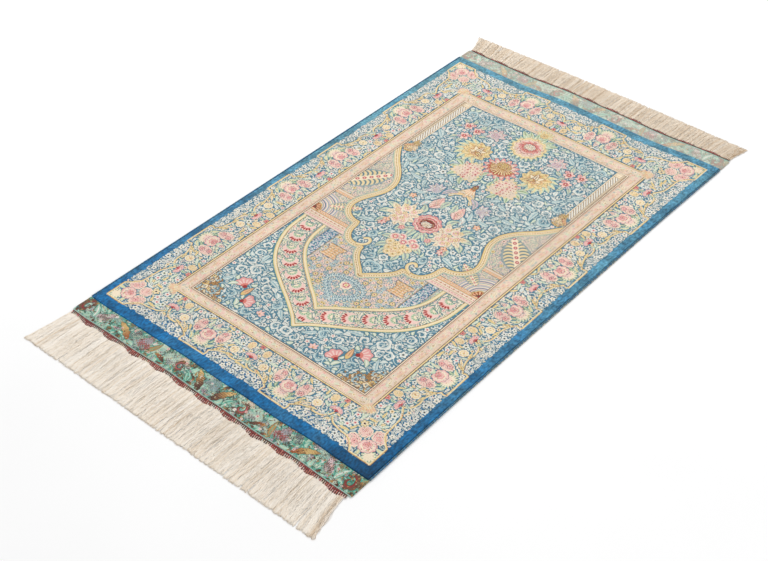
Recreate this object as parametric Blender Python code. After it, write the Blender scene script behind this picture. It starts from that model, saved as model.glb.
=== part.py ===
"""A fringed silk pile rug, lying flat.

The knotted pile is one slab. At each end it passes into a thinner flat-woven band (kilim), which is closed by
a twining cord and a scalloped overcast edging, and ends in a fringe whose strands hang from a narrow strip.
Both long sides are bound by an overcast selvedge cord.

Metres, +Z up. The origin is the middle of the pile's underside, +X runs across the rug and +Y along it,
towards the end with the shorter fringe.
"""

import math
import random
from collections import namedtuple

import bpy

# Driving sizes
RUG_WIDTH = 0.600
PILE_LENGTH = 0.970
PILE_THICKNESS = 0.0035
PILE_EDGE_RADIUS = 0.0008
SELVEDGE_RADIUS = 0.0015
KILIM_THICKNESS = 0.0018
TWINING_RADIUS = 0.0009
EDGING_THICKNESS = 0.0024
STRIP_THICKNESS = 0.0016
GAP = 0.0003  # between neighbouring solids

# How far short of the rug's side each piece stops
SELVEDGE_END_INSET = 0.001
KILIM_INSET = 0.001
TWINING_INSET = 0.002
EDGING_INSET = 0.003
FRINGE_INSET = 0.004

STRIP_DEPTH = 0.002  # of the fringe's strip beyond the tips of the scallops
STRANDS = 150
STRAND_SHARE = 0.62  # a strand's width at its root as a share of the pitch between strands
STRAND_TAPER = 0.35  # how much of that width is gone at the tip
STRAND_BENDS = (0.0, 0.5, 1.0)  # where along its length a strand has points
ROW_STEP = 0.012  # between the points of a long wavy edge

Wave = namedtuple("Wave", "height length crest_x")
End = namedtuple(
    "End",
    "name side kilim_depth edging_depth scallop_depth scallop_pitch crest_x"
    " fringe_tip left_flare right_flare sway seed waves",
)

# side is -1 at the front end and +1 at the back. Depths run outwards from the pile. crest_x is where one
# scallop has its tip, and fringe_tip is |y| of the strands' ends. A flare is how far the outermost strand
# leans out, and waves make the end's uneven line.
ENDS = (
    End("front", -1, 0.037, 0.0050, 0.0070, 0.0526, 0.007,
        0.616, 0.005, 0.018, 0.0005, 3,
        (Wave(0.0010, 0.290, 0.060), Wave(0.0006, 0.130, -0.010))),
    End("back", 1, 0.030, 0.0026, 0.0034, 0.0535, -0.009,
        0.569, 0.012, 0.010, 0.0005, 8,
        (Wave(0.0026, 0.330, -0.020), Wave(0.0008, 0.150, 0.090))),
)


def clear_scene():
    for obj in list(bpy.data.objects):
        bpy.data.objects.remove(obj, do_unlink=True)


def make_collection():
    rug = bpy.data.collections.new("silk_rug")
    bpy.context.scene.collection.children.link(rug)
    return rug


def cloth_material(name, colour, roughness):
    material = bpy.data.materials.new(name)
    material.use_nodes = True
    shader = material.node_tree.nodes["Principled BSDF"]
    shader.inputs["Base Color"].default_value = (*colour, 1.0)
    shader.inputs["Roughness"].default_value = roughness
    shader.inputs["Metallic"].default_value = 0.0
    return material


def stations(start, stop, step):
    """Evenly spaced values from start to stop, both included, about a step apart."""
    count = max(2, round(abs(stop - start) / step) + 1)
    return [start + (stop - start) * i / (count - 1) for i in range(count)]


def pile_end(end, x):
    """|y| of the pile's wavy end line."""
    ripple = sum(w.height * math.cos(2 * math.pi * (x - w.crest_x) / w.length) for w in end.waves)
    return PILE_LENGTH / 2 + ripple


def kilim_end(end, x):
    return pile_end(end, x) + GAP + end.kilim_depth


def edging_start(end, x):
    return kilim_end(end, x) + 2 * GAP + 2 * TWINING_RADIUS


def scallop(end, x):
    """From 0 between two scallops to 1 at a scallop's tip."""
    return (0.5 + 0.5 * math.cos(2 * math.pi * (x - end.crest_x) / end.scallop_pitch)) ** 1.5


def edging_end(end, x):
    return edging_start(end, x) + end.edging_depth + end.scallop_depth * scallop(end, x)


def strip_end(end):
    """|y| of the straight line where the strands leave their strip."""
    widest = max(edging_end(end, x) for x in stations(-RUG_WIDTH / 2, RUG_WIDTH / 2, ROW_STEP / 4))
    return widest + GAP + STRIP_DEPTH


def link(rug, name, data, material):
    data.materials.append(material)
    obj = bpy.data.objects.new(name, data)
    rug.objects.link(obj)
    return obj


def flat_sheet(rug, name, outline, thickness, material, edge_radius=0.0):
    """A flat outline in X and Y with a thickness, lying on z = 0."""
    curve = bpy.data.curves.new(name, "CURVE")
    curve.dimensions = "2D"
    curve.fill_mode = "BOTH"
    curve.extrude = thickness / 2 - edge_radius
    curve.bevel_depth = edge_radius
    curve.bevel_resolution = 1
    curve.offset = -edge_radius
    spline = curve.splines.new("POLY")
    spline.points.add(len(outline) - 1)
    for point, (x, y) in zip(spline.points, outline):
        point.co = (x, y, 0.0, 1.0)
    spline.use_cyclic_u = True
    obj = link(rug, name, curve, material)
    obj.location.z = thickness / 2
    return obj


def sewn_cord(rug, name, route, radius, material):
    """A cord that is sewn down along its whole route, lying on z = 0."""
    curve = bpy.data.curves.new(name, "CURVE")
    curve.dimensions = "3D"
    curve.bevel_depth = radius
    curve.bevel_resolution = 2
    curve.use_fill_caps = True
    spline = curve.splines.new("POLY")
    spline.points.add(len(route) - 1)
    for point, (x, y) in zip(spline.points, route):
        point.co = (x, y, radius, 1.0)
    return link(rug, name, curve, material)


def band_outline(end, inner, outer, half_width, step):
    """The outline of a band across the rug, between two lines given as |y| over x."""
    across = stations(-half_width, half_width, step)
    near = [(x, end.side * inner(end, x)) for x in across]
    far = [(x, end.side * outer(end, x)) for x in reversed(across)]
    return near + far


def make_pile(rug, material):
    half = RUG_WIDTH / 2 - 2 * SELVEDGE_RADIUS - GAP
    front, back = ENDS
    across = stations(-half, half, ROW_STEP)
    outline = [(x, -pile_end(front, x)) for x in across]
    outline += [(x, pile_end(back, x)) for x in reversed(across)]
    return flat_sheet(rug, "pile_carpet", outline, PILE_THICKNESS, material, PILE_EDGE_RADIUS)


def make_selvedge(rug, name, side, material):
    x = side * (RUG_WIDTH / 2 - SELVEDGE_RADIUS)
    half = PILE_LENGTH / 2 - SELVEDGE_END_INSET
    route = [(x, y) for y in stations(-half, half, ROW_STEP * 4)]
    return sewn_cord(rug, name, route, SELVEDGE_RADIUS, material)


def make_kilim(rug, end, material):
    def start(end, x):
        return pile_end(end, x) + GAP

    outline = band_outline(end, start, kilim_end, RUG_WIDTH / 2 - KILIM_INSET, ROW_STEP)
    return flat_sheet(rug, f"kilim_{end.name}", outline, KILIM_THICKNESS, material)


def make_twining(rug, end, material):
    half = RUG_WIDTH / 2 - TWINING_INSET
    route = [
        (x, end.side * (kilim_end(end, x) + GAP + TWINING_RADIUS))
        for x in stations(-half, half, ROW_STEP)
    ]
    return sewn_cord(rug, f"twining_{end.name}", route, TWINING_RADIUS, material)


def make_edging(rug, end, material):
    outline = band_outline(end, edging_start, edging_end, RUG_WIDTH / 2 - EDGING_INSET, ROW_STEP / 2)
    return flat_sheet(rug, f"edging_{end.name}", outline, EDGING_THICKNESS, material)


def strand_sides(end, index, sways):
    """The two sides of one strand, from its root to its tip: each a list of (x, |y|)."""
    half = RUG_WIDTH / 2 - FRINGE_INSET
    pitch = 2 * half / STRANDS
    root_x = -half + (index + 0.5) * pitch
    lean = root_x / half
    flare = lean * abs(lean) ** 3 * (end.right_flare if lean > 0 else end.left_flare)
    root_y = strip_end(end)
    length = end.fringe_tip - root_y
    left, right = [], []
    for share, sway in zip(STRAND_BENDS, sways):
        x = root_x + flare * share + sway * end.sway
        width = pitch * STRAND_SHARE * (1.0 - STRAND_TAPER * share)
        y = root_y + length * share
        left.append((x - width / 2, y))
        right.append((x + width / 2, y))
    return left, right


def make_fringe(rug, end, material):
    """A comb: a strip beside the edging, and the strands that hang from it, all one solid."""
    draws = random.Random(end.seed)
    half = RUG_WIDTH / 2 - FRINGE_INSET
    across = stations(half, -half, ROW_STEP / 2)
    outline = [(x, edging_end(end, x) + GAP) for x in across]
    outline.append((-half, strip_end(end)))
    for index in range(STRANDS):
        sways = [0.0] + [draws.uniform(-1, 1) for _ in STRAND_BENDS[1:]]
        left, right = strand_sides(end, index, sways)
        outline += left + right[::-1]
    outline.append((half, strip_end(end)))
    placed = [(x, end.side * y) for x, y in outline]
    return flat_sheet(rug, f"fringe_{end.name}", placed, STRIP_THICKNESS, material)


def main():
    clear_scene()
    rug = make_collection()
    blue_pile = cloth_material("silk_pile", (0.10, 0.31, 0.48), 0.55)
    blue_cord = cloth_material("selvedge_cord", (0.05, 0.17, 0.30), 0.60)
    green_kilim = cloth_material("kilim_weave", (0.22, 0.48, 0.40), 0.70)
    pale_cord = cloth_material("twining_cord", (0.60, 0.70, 0.68), 0.65)
    red_edging = cloth_material("edging_stitches", (0.42, 0.06, 0.06), 0.65)
    cream_fringe = cloth_material("fringe_silk", (0.80, 0.69, 0.55), 0.50)

    make_pile(rug, blue_pile)
    make_selvedge(rug, "selvedge_left", -1, blue_cord)
    make_selvedge(rug, "selvedge_right", 1, blue_cord)
    for end in ENDS:
        make_kilim(rug, end, green_kilim)
        make_twining(rug, end, pale_cord)
        make_edging(rug, end, red_edging)
        make_fringe(rug, end, cream_fringe)


main()
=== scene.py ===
"""The looks of a silk pile rug with fringes, lying flat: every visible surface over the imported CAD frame.

Metres, +Z up, in the frame of the CAD source. The knotted design is worked out here from formulas: a chart of
silk numbers, one for each knot, which the meshes carry as attributes and the materials turn into colours.
"""

import math
import random
from collections import namedtuple

import bpy
import numpy as np
from mathutils import Matrix, Vector


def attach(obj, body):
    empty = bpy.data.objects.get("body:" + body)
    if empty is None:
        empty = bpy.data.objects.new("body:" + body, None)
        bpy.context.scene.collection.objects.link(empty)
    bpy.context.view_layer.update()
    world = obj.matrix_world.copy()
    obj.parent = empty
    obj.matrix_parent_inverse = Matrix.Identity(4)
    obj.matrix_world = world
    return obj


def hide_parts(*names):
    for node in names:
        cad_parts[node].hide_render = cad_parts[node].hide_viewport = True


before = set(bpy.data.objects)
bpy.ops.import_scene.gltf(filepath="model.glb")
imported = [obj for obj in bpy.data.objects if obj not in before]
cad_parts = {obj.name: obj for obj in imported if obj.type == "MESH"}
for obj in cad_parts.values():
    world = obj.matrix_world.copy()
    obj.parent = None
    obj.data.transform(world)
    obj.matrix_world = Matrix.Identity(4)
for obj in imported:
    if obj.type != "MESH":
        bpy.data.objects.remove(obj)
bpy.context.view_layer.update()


# ---------------------------------------------------------------- the silks and the knot chart

# Every knot is one of these silks, given as sRGB.
(
    BLUE, DEEP, BAND, SLATE, WHITE, ICE, SKY, CREAM, PEACH, SAND, GOLD, OCHRE, BROWN, APRICOT, ORANGE, BLUSH,
    PINK, ROSE, WINE, MINT, LEAF, PINE, LILAC, MIST, SEA, TURQUOISE, JADE, PALE_JADE, RUST, UMBER, CORAL,
    STRAW,
) = SILKS = range(32)
SILK_COLOURS = {
    BLUE: (82, 126, 145), DEEP: (68, 96, 106), BAND: (34, 96, 142), SLATE: (76, 122, 144),
    WHITE: (224, 221, 211), ICE: (188, 203, 199), SKY: (124, 161, 172), CREAM: (233, 217, 190),
    PEACH: (220, 201, 181), SAND: (206, 189, 160), GOLD: (214, 184, 122), OCHRE: (180, 138, 84),
    BROWN: (112, 76, 58), APRICOT: (224, 178, 140), ORANGE: (202, 118, 70), BLUSH: (231, 197, 186),
    PINK: (220, 156, 152), ROSE: (190, 92, 98), WINE: (150, 46, 48), MINT: (196, 208, 180),
    LEAF: (138, 162, 124), PINE: (76, 106, 88), LILAC: (196, 180, 190), MIST: (146, 160, 160),
    SEA: (92, 124, 130), TURQUOISE: (84, 166, 144), JADE: (44, 112, 92), PALE_JADE: (160, 202, 182),
    RUST: (156, 82, 44), UMBER: (78, 52, 40), CORAL: (208, 120, 108), STRAW: (226, 204, 152),
}
CLEAR = 255  # no silk: what lies under a motif shows

# The chart is in millimetres, one cell for each knot, and holds the right half, which the left one mirrors.
# u runs out from the design's axis, and y along the rug.
KNOT = 0.6
CHART_HALF_WIDTH = 306.0
CHART_HALF_LENGTH = 485.4
COLUMN_U_CELLS = np.arange(KNOT / 2, CHART_HALF_WIDTH, KNOT)
ROW_Y = np.arange(KNOT / 2 - CHART_HALF_LENGTH, CHART_HALF_LENGTH, KNOT)

# Bands of the design: u of their outer edges, and y of their front and back ones
BORDER_U = 283.2
BORDER_FRONT, BORDER_BACK = -465.0, 468.0
GUARD_U = 215.7
GUARD_FRONT, GUARD_BACK = -387.0, 392.4
FIELD_U = 187.2
FIELD_FRONT, FIELD_BACK = -362.0, 362.4


def window(low, high, cells):
    """The slice of evenly spaced cells between two values."""
    first = np.searchsorted(cells, low)
    return slice(int(first), int(np.searchsorted(cells, high)))


class Chart:
    """Cells of silk numbers over columns u and rows y, and what is already taken by a motif."""

    def __init__(self, columns, rows, ground):
        self.columns = columns
        self.rows = rows
        self.silk = np.full((len(rows), len(columns)), ground, np.uint8)
        self.taken = np.zeros(self.silk.shape, bool)

    def fill(self, mask, silk, taken=False):
        """Paints the cells of a mask in one silk."""
        self.silk[mask] = silk
        self.taken[mask] = taken

    def box(self, u0, u1, y0, y1):
        """The mask of the cells in an upright box."""
        mask = np.zeros(self.silk.shape, bool)
        mask[window(y0, y1, self.rows), window(u0, u1, self.columns)] = True
        return mask

    def local(self, u, y, size, turn, flip, reach):
        """The cells round a place, and their coordinates in units of size, turned with the motif."""
        wide, high = size if isinstance(size, tuple) else (size, size)
        far = reach * math.hypot(wide, high) if wide != high else reach * wide
        part = (window(y - far, y + far, self.rows), window(u - far, u + far, self.columns))
        dy, du = np.meshgrid(self.rows[part[0]] - y, self.columns[part[1]] - u, indexing="ij")
        across = (du * math.cos(turn) + dy * math.sin(turn)) / wide
        along = (dy * math.cos(turn) - du * math.sin(turn)) / high
        return part, (-across if flip else across), along

    def stamp(self, motif, u, y, size, turn=0.0, flip=False, rim=None, reach=1.25):
        """Paints a motif, a function of its own unit coordinates, and marks its cells as taken."""
        part, across, along = self.local(u, y, size, turn, flip, reach)
        paint = motif(across, along)
        solid = paint != CLEAR
        if rim is not None:
            edge = widened(solid) & ~solid
            self.silk[part][edge] = rim
            self.taken[part] |= edge
        self.silk[part][solid] = paint[solid]
        self.taken[part] |= solid

    def place_cut(self, cut, row, column, outline=None):
        """Places a cut motif round a cell if the cells that it needs are free, and outlines it if asked."""
        reach = cut.paint.shape[0] // 2
        top, left = max(0, row - reach), max(0, column - reach)
        part = (slice(top, row + reach + 1), slice(left, column + reach + 1))
        taken = self.taken[part]
        first_row, first_column = top - row + reach, left - column + reach
        piece = (
            slice(first_row, first_row + taken.shape[0]),
            slice(first_column, first_column + taken.shape[1]),
        )
        if not (cut.needed[piece] & taken).any():
            solid = cut.solid[piece]
            self.silk[part][solid] = cut.paint[piece][solid]
            taken |= solid
            if outline is not None:
                self.silk[part][cut.rim[piece] & ~taken] = outline


Cut = namedtuple("Cut", "paint solid needed rim")


def cut_motif(motif, size, turn, flip, room):
    """A motif as a square of cells, with the cells that it and a margin round it need."""
    reach = math.ceil(1.15 * size / KNOT) + room
    cells = np.arange(-reach, reach + 1) * KNOT / size
    dy, du = np.meshgrid(cells, cells, indexing="ij")
    across = du * math.cos(turn) + dy * math.sin(turn)
    along = dy * math.cos(turn) - du * math.sin(turn)
    paint = motif(-across if flip else across, along)
    solid = paint != CLEAR
    needed = solid
    for _ in range(room):
        needed = widened(needed)
    return Cut(paint, solid, needed, widened(solid) & ~solid)


def widened(mask):
    """The mask grown by one cell on every side."""
    grown = mask.copy()
    grown[1:] |= mask[:-1]
    grown[:-1] |= mask[1:]
    grown[:, 1:] |= mask[:, :-1]
    grown[:, :-1] |= mask[:, 1:]
    return grown


# ---------------------------------------------------------------- lines


def smooth(points, step=1.2):
    """A smooth line through the points."""
    knots = np.array([points[0], *points, points[-1]], float)
    line = []
    for a, b, c, d in zip(knots, knots[1:], knots[2:], knots[3:]):
        count = max(2, int(np.hypot(*(c - b)) / step))
        t = (np.arange(count) / count)[:, None]
        line.append(0.5 * (2 * b + (c - a) * t + (2 * a - 5 * b + 4 * c - d) * t**2
                           + (3 * b - a - 3 * c + d) * t**3))
    return np.concatenate([*line, knots[-1:]])


def near_line(chart, line, reach):
    """For each cell: its distance to the line, which is positive on its left, and how far along it lies."""
    nearest = np.full(chart.silk.shape, np.inf)
    signed = np.full(chart.silk.shape, np.inf)
    along = np.zeros(chart.silk.shape)
    travelled = 0.0
    for start, end in zip(line, line[1:]):
        low, high = np.minimum(start, end) - reach, np.maximum(start, end) + reach
        part = (window(low[1], high[1], chart.rows), window(low[0], high[0], chart.columns))
        step = end - start
        length = max(float(np.hypot(*step)), 1e-6)
        dy, du = np.meshgrid(chart.rows[part[0]] - start[1], chart.columns[part[1]] - start[0], indexing="ij")
        t = ((du * step[0] + dy * step[1]) / length**2).clip(0, 1)
        gap = np.hypot(du - t * step[0], dy - t * step[1])
        closer = gap < nearest[part]
        side = np.where(step[0] * dy - step[1] * du >= 0, 1.0, -1.0)
        nearest[part][closer] = gap[closer]
        signed[part][closer] = (gap * side)[closer]
        along[part][closer] = (travelled + t * length)[closer]
        travelled += length
    return signed, along


def inside(chart, outline):
    """The cells inside a closed outline."""
    mask = np.zeros(chart.silk.shape, bool)
    for (u0, y0), (u1, y1) in zip(outline, np.roll(outline, -1, axis=0)):
        if y0 == y1:
            continue
        for row in range(*np.searchsorted(chart.rows, sorted((y0, y1)))):
            crossing = u0 + (u1 - u0) * (chart.rows[row] - y0) / (y1 - y0)
            mask[row, np.searchsorted(chart.columns, crossing):] ^= True
    return mask


def stripes(chart, signed, bands):
    """Paints bands beside a line: each is where it starts and ends, as signed distances, and its silk."""
    for low, high, silk in bands:
        chart.fill((signed >= low) & (signed < high), silk, True)


def draw_line(chart, points, bands):
    """Paints bands along a smooth line through the points."""
    signed, _ = near_line(chart, smooth(points), max(abs(v) for b in bands for v in b[:2]) + 1)
    stripes(chart, signed, bands)


# ---------------------------------------------------------------- motifs, in unit coordinates with +y up


def drawing(draw):
    """Lets a drawing of (x, y, silks) be called with its silks alone, which gives a motif: one of (x, y)."""
    return lambda *silks, **more: lambda x, y: draw(x, y, *silks, **more)


def polar(x, y):
    """Distance from the middle, and the angle from straight up."""
    return np.hypot(x, y), np.arctan2(x, y)


def lobes(angle, count, depth, turn=0.0):
    """A lobed edge's distance from the middle at each angle."""
    return 1 - depth + depth * np.abs(np.cos(count * (angle - turn) / 2))


def layered(x, *layers):
    """A drawing on clear ground in layers of (mask, silk), each over those before it."""
    paint = np.full(x.shape, CLEAR, np.uint8)
    for mask, silk in layers:
        paint[mask] = silk
    return paint


def petal(x, y, reach, width, turn=0.0):
    """The mask of a pointed petal that grows from the middle."""
    across = x * math.cos(turn) - y * math.sin(turn)
    along = (x * math.sin(turn) + y * math.cos(turn)) / reach
    return np.abs(across) < width * np.sin(np.pi * along.clip(0, 1) ** 0.8) ** 0.8


@drawing
def blossom(x, y, heart, petals=5, body=WHITE, ring=ICE):
    """A small open flower."""
    r, a = polar(x, y)
    edge = lobes(a, petals, 0.42)
    return layered(x, (r < edge, body), (r < 0.52 * edge, ring), (r < 0.26, heart))


@drawing
def leaf(x, y, body, vein, bend=0.25, width=0.36):
    """A pointed, slightly curved leaf along x."""
    middle = bend * (0.6 - x**2)
    half = width * (1 - x.clip(-1, 1) ** 2) ** 0.75 * (1.15 - 0.35 * x)
    return layered(x, (np.abs(y - middle) < half, body), (np.abs(y - middle) < 0.28 * half, vein))


@drawing
def acanthus(x, y, body, vein, frills=4):
    """A broad leaf along x with a frilled edge and a bent tip."""
    middle = 0.30 * np.sin(1.6 * x) - 0.1
    share = ((x + 1) / 2).clip(0, 1)
    half = 0.40 * np.sin(np.pi * share**0.7) ** 0.8 * (0.72 + 0.28 * np.abs(np.sin(np.pi * frills * share)))
    away = np.abs(y - middle)
    ribs = np.sin(2 * np.pi * frills * share + 5 * away) > 0.55
    return layered(x, (away < half, body), ((away < 0.72 * half) & ribs, vein), (away < 0.10 * half, vein))


@drawing
def plume(x, y, body, vein, spine=None):
    """A leaf along x that bends like a comma, with a frilled outer side."""
    share = ((x + 1) / 2).clip(0, 1)
    middle = 0.50 - 0.95 * np.cos(1.25 * share)
    away = y + 0.30 - middle
    half = 0.37 * np.sin(np.pi * share**0.62) ** 0.75
    outer = np.where(away < 0, half * (0.95 + 0.35 * np.abs(np.sin(4 * np.pi * share))), 0.85 * half)
    ribs = (away < -0.15 * half) & (np.abs(np.sin(4 * np.pi * share + 3 * away)) < 0.34)
    return layered(
        x, (np.abs(away) < outer, body), ((np.abs(away) < 0.75 * outer) & ribs, vein),
        (np.abs(away) < 0.14 * half, vein if spine is None else spine),
    )


@drawing
def curl(x, y, body=WHITE, vein=ICE, turns=1.2, plump=0.17, frills=4.5):
    """A leafy scroll: a tapering spiral with a frilled outer side."""
    r, a = polar(x, y)
    paint = layered(x)
    for whole in (0, 1):
        theta = a % (2 * np.pi) + 2 * np.pi * whole
        share = theta / (2 * np.pi * turns)
        middle = 0.80 * (1 - 0.78 * share)
        thick = plump * np.sin(np.pi * share.clip(0, 1) ** 0.75) ** 0.7 * (1.15 - 0.5 * share)
        outer = thick * (0.55 + 0.95 * np.abs(np.sin(frills * theta / 2)) * (whole == 0))
        band = (share < 1) & (r - middle < outer) & (middle - r < 0.8 * thick)
        paint[band] = body
        paint[band & (np.abs(r - middle + 0.25 * thick) < 0.28 * thick)] = vein
    return paint


@drawing
def rose(x, y, outer, middle, inner, heart, edge=None):
    """A full flower of three rings of petals."""
    r, a = polar(x, y)
    rim = lobes(a, 9, 0.14)
    return layered(
        x,
        (r < rim, edge if edge is not None else outer),
        (r < 0.92 * rim, outer),
        (r < 0.70 * lobes(a, 9, 0.16, 0.35), middle),
        (r < 0.52 * lobes(a, 7, 0.20), inner),
        (r < 0.36 * lobes(a, 6, 0.25, 0.3), outer),
        (r < 0.20, heart),
    )


@drawing
def ruffled(x, y, body, spot, rim, heart):
    """A round bloom seen from the side, with rows of small curved petals."""
    r, a = polar(x, y + 0.35)
    outer, angle = polar(x, y)
    edge = lobes(angle, 11, 0.12)
    step = (5.2 * r) % 1
    seams = step + 0.45 * np.abs(np.sin(5.5 * a + 0.5 * np.pi * (np.floor(5.2 * r) % 2))) < 0.52
    petals = outer < 0.88 * edge
    return layered(
        x, (outer < edge, rim), (petals, body), (petals & (step > 0.84), rim), (petals & seams, spot),
        (seams & (r < 0.50) & (step < 0.30), heart),
    )


@drawing
def fan(x, y, ray, between, root, rim, spread=1.35, rays=13):
    """A palmette: rays that open upwards from its root."""
    r, a = polar(x, y + 0.55)
    open_part = np.abs(a) < spread
    edge = 1.42 * lobes(a, 2 * rays / spread, 0.12) * (1 - 0.12 * np.abs(a))
    bright = np.cos(np.pi * rays * a / spread) > 0
    return layered(
        x,
        (open_part & (r < edge), rim),
        (open_part & (r < 0.90 * edge), between),
        (open_part & (r < 0.84 * edge) & bright, ray),
        (open_part & (r < 0.50), root),
        (r < 0.22, WINE),
    )


@drawing
def lily(x, y, petal_silk, shade, heart, spread=0.75):
    """A flower of five pointed petals that open upwards."""
    layers = []
    for turn, reach in ((2.1 * spread, 0.8), (-2.1 * spread, 0.8), (spread, 1.05), (-spread, 1.05), (0, 1.1)):
        layers.append((petal(x, y + 0.2, reach, 0.27, turn), shade))
        layers.append((petal(x, y + 0.2, reach * 0.94, 0.2, turn), petal_silk))
    r, _ = polar(x, y + 0.12)
    return layered(x, *layers, (r < 0.24, heart), (r < 0.1, WINE))


@drawing
def bud(x, y, body, shade, cup):
    """A closed bud that points up."""
    share = ((y + 1) / 2).clip(0, 1)
    half = 0.42 * np.sin(np.pi * share**0.75) ** 0.8
    return layered(
        x,
        (np.abs(x) < half, shade),
        (np.abs(x) < 0.78 * half, body),
        ((np.abs(x) < 0.16 * half) & (share > 0.3), shade),
        ((np.abs(x) < half) & (share < 0.24 + 0.3 * np.abs(x)), cup),
    )


@drawing
def spiky(x, y, inner, outer, spikes=22):
    """A halo of narrow leaves round a flower."""
    r, a = polar(x, y)
    wave = np.abs(np.cos(spikes * a / 2))
    return layered(x, (r < 0.62 + 0.38 * wave, outer), (r < 0.58 + 0.28 * wave**2, inner))


@drawing
def bouquet_cluster(x, y, ground, petals, heart, leaves):
    """A three-cornered bunch of small blossoms, with the narrow end down."""
    rows = (7, 7, 6, 5, 4, 2)
    r, a = polar(x, y)
    side = 0.98 - 0.34 * np.abs(np.cos(1.5 * (a + np.pi)))
    paint = layered(x, (r < side * lobes(a, 17, 0.20) * 1.1, leaves), (r < side * lobes(a, 14, 0.16), ground))
    across, down = 1.42 / rows[0], 1.25 / len(rows)
    for row, count in enumerate(rows):
        for place in range(count):
            du = x - across * (place - (count - 1) / 2) - 0.2 * across * (-1) ** row
            dy = y - 0.50 + down * row
            near, angle = polar(du, dy)
            paint[near < 0.49 * across * lobes(angle, 5, 0.3)] = petals[(row + place) % len(petals)]
            paint[near < 0.18 * across] = heart
    return paint


@drawing
def mottled(x, y, *silks):
    """A patch of small flecks that thins out towards its edge."""
    r, a = polar(x, y)
    fine = np.sin(23 * x + 7 * y) + np.sin(29 * y - 11 * x + 1.0) + np.sin(47 * x + 41 * y)
    broad = np.sin(3.4 * x + 2.2 * y + 0.6) + 0.6 * np.sin(5 * y - 2 * x)
    pick = np.floor((fine / 7 + broad / 3.6 + 1) * len(silks)).astype(int) % len(silks)
    edge = 0.78 + 0.14 * np.sin(3 * a + 1) + 0.10 * fine
    return layered(x, *[((r < edge) & (pick == number), silk) for number, silk in enumerate(silks)])


@drawing
def shaded_leaf(x, y, *silks):
    """A plump leaf along x in small flecks, whose silks follow each other from its root to its tip."""
    share = ((x + 1) / 2).clip(0, 1)
    away = y + 0.22 - 0.42 * np.sin(2.2 * share)
    half = 0.50 * np.sin(np.pi * share**0.75) ** 0.7 * (0.86 + 0.14 * np.sin(26 * share))
    fine = np.sin(31 * x + 17 * y) + np.sin(37 * y - 19 * x + 1.0)
    pick = np.floor((share + 0.10 * fine) * len(silks)).clip(0, len(silks) - 1)
    leaf_part = np.abs(away) < half
    return layered(x, *[(leaf_part & (pick == number), silk) for number, silk in enumerate(silks)])


# ---------------------------------------------------------------- layout of the pile's design


SIZE_STEPS = 4
TURN_STEPS = 24


def scatter(chart, region, kinds, tries, seed, room, outline=None):
    """Fills the free part of a region with small motifs, each where it and a margin round it are free."""
    draws = random.Random(seed)
    blocked = ~region & ~chart.taken
    rows, columns = np.nonzero(region & ~chart.taken)
    chart.taken |= blocked
    cuts = {}
    for _ in range(tries):
        spot = draws.randrange(len(rows))
        row, column = rows[spot], columns[spot]
        kind, step, flip = draws.randrange(len(kinds)), draws.randrange(SIZE_STEPS), draws.random() < 0.5
        flow = 2.2 * math.sin(chart.columns[column] / 23) + 2.2 * math.cos(chart.rows[row] / 19)
        turn = round((flow + draws.uniform(-0.7, 0.7)) / (2 * math.pi) * TURN_STEPS) % TURN_STEPS
        if chart.taken[row, column]:
            continue
        pick = (kind, step, turn, flip)
        if pick not in cuts:
            motif, low, high = kinds[kind]
            size = low + (high - low) * step / (SIZE_STEPS - 1)
            cuts[pick] = cut_motif(motif, size, turn * 2 * math.pi / TURN_STEPS, flip, room)
        chart.place_cut(cuts[pick], row, column, outline)
    chart.taken[blocked] = False


def scroll(chart, region, u, y, radius, turn, side, silks, outline):
    """A spiral stem round a place, with leaves along both of its sides where there is room."""
    stem, *leaf_motifs = silks
    share = np.linspace(0, 1, 48)
    angle = turn + side * share * 2 * math.pi * 1.15
    reach = radius * (1 - 0.80 * share)
    line = np.stack([u + reach * np.cos(angle), y + reach * np.sin(angle)], axis=1)
    steps = np.diff(line, axis=0)
    travelled = np.concatenate([[0], np.cumsum(np.hypot(*steps.T))])
    for number, at in enumerate(np.arange(0.05 * radius, travelled[-1], 0.26 * radius)):
        i = min(int(np.searchsorted(travelled, at)), len(steps) - 1)
        size = radius * (0.25 + 0.13 * (1 - at / travelled[-1]))
        outer = number % 2 == 0
        lean = math.atan2(steps[i, 1], steps[i, 0]) - side * (0.62 if outer else -0.62)
        place_u, place_y = line[i] + 0.95 * size * np.array([math.cos(lean), math.sin(lean)])
        row, column = np.searchsorted(chart.rows, place_y), np.searchsorted(chart.columns, place_u)
        if row < len(chart.rows) and column < len(chart.columns) and region[row, column]:
            motif = leaf_motifs[number % len(leaf_motifs)]
            chart.place_cut(cut_motif(motif, size, lean, outer == (side > 0), 0), row, column, outline)
    signed, _ = near_line(chart, line, 1.5)
    chart.fill((np.abs(signed) < 0.035 * radius) & region & ~chart.taken, stem, True)


def scrolls(chart, region, pitch, radius, seed, silks, outline=DEEP):
    """Spiral stems over a region, in rough rows."""
    draws = random.Random(seed)
    blocked = ~region & ~chart.taken
    chart.taken |= blocked
    rows, columns = np.nonzero(region)
    low_u, high_u = chart.columns[columns.min()], chart.columns[columns.max()]
    low_y, high_y = chart.rows[rows.min()], chart.rows[rows.max()]
    number = 0
    for y in np.arange(low_y + pitch / 3, high_y, pitch * 0.86):
        for u in np.arange(low_u + pitch * (0.35 + 0.5 * (number % 2)), high_u + pitch / 3, pitch):
            spot_u, spot_y = u + draws.uniform(-0.12, 0.12) * pitch, y + draws.uniform(-0.12, 0.12) * pitch
            size = radius * draws.uniform(0.85, 1.12)
            turn, side = draws.uniform(0, 2 * math.pi), draws.choice((-1, 1))
            scroll(chart, region, spot_u, spot_y, size, turn, side, silks, outline)
        number += 1
    chart.taken[blocked] = False


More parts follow.
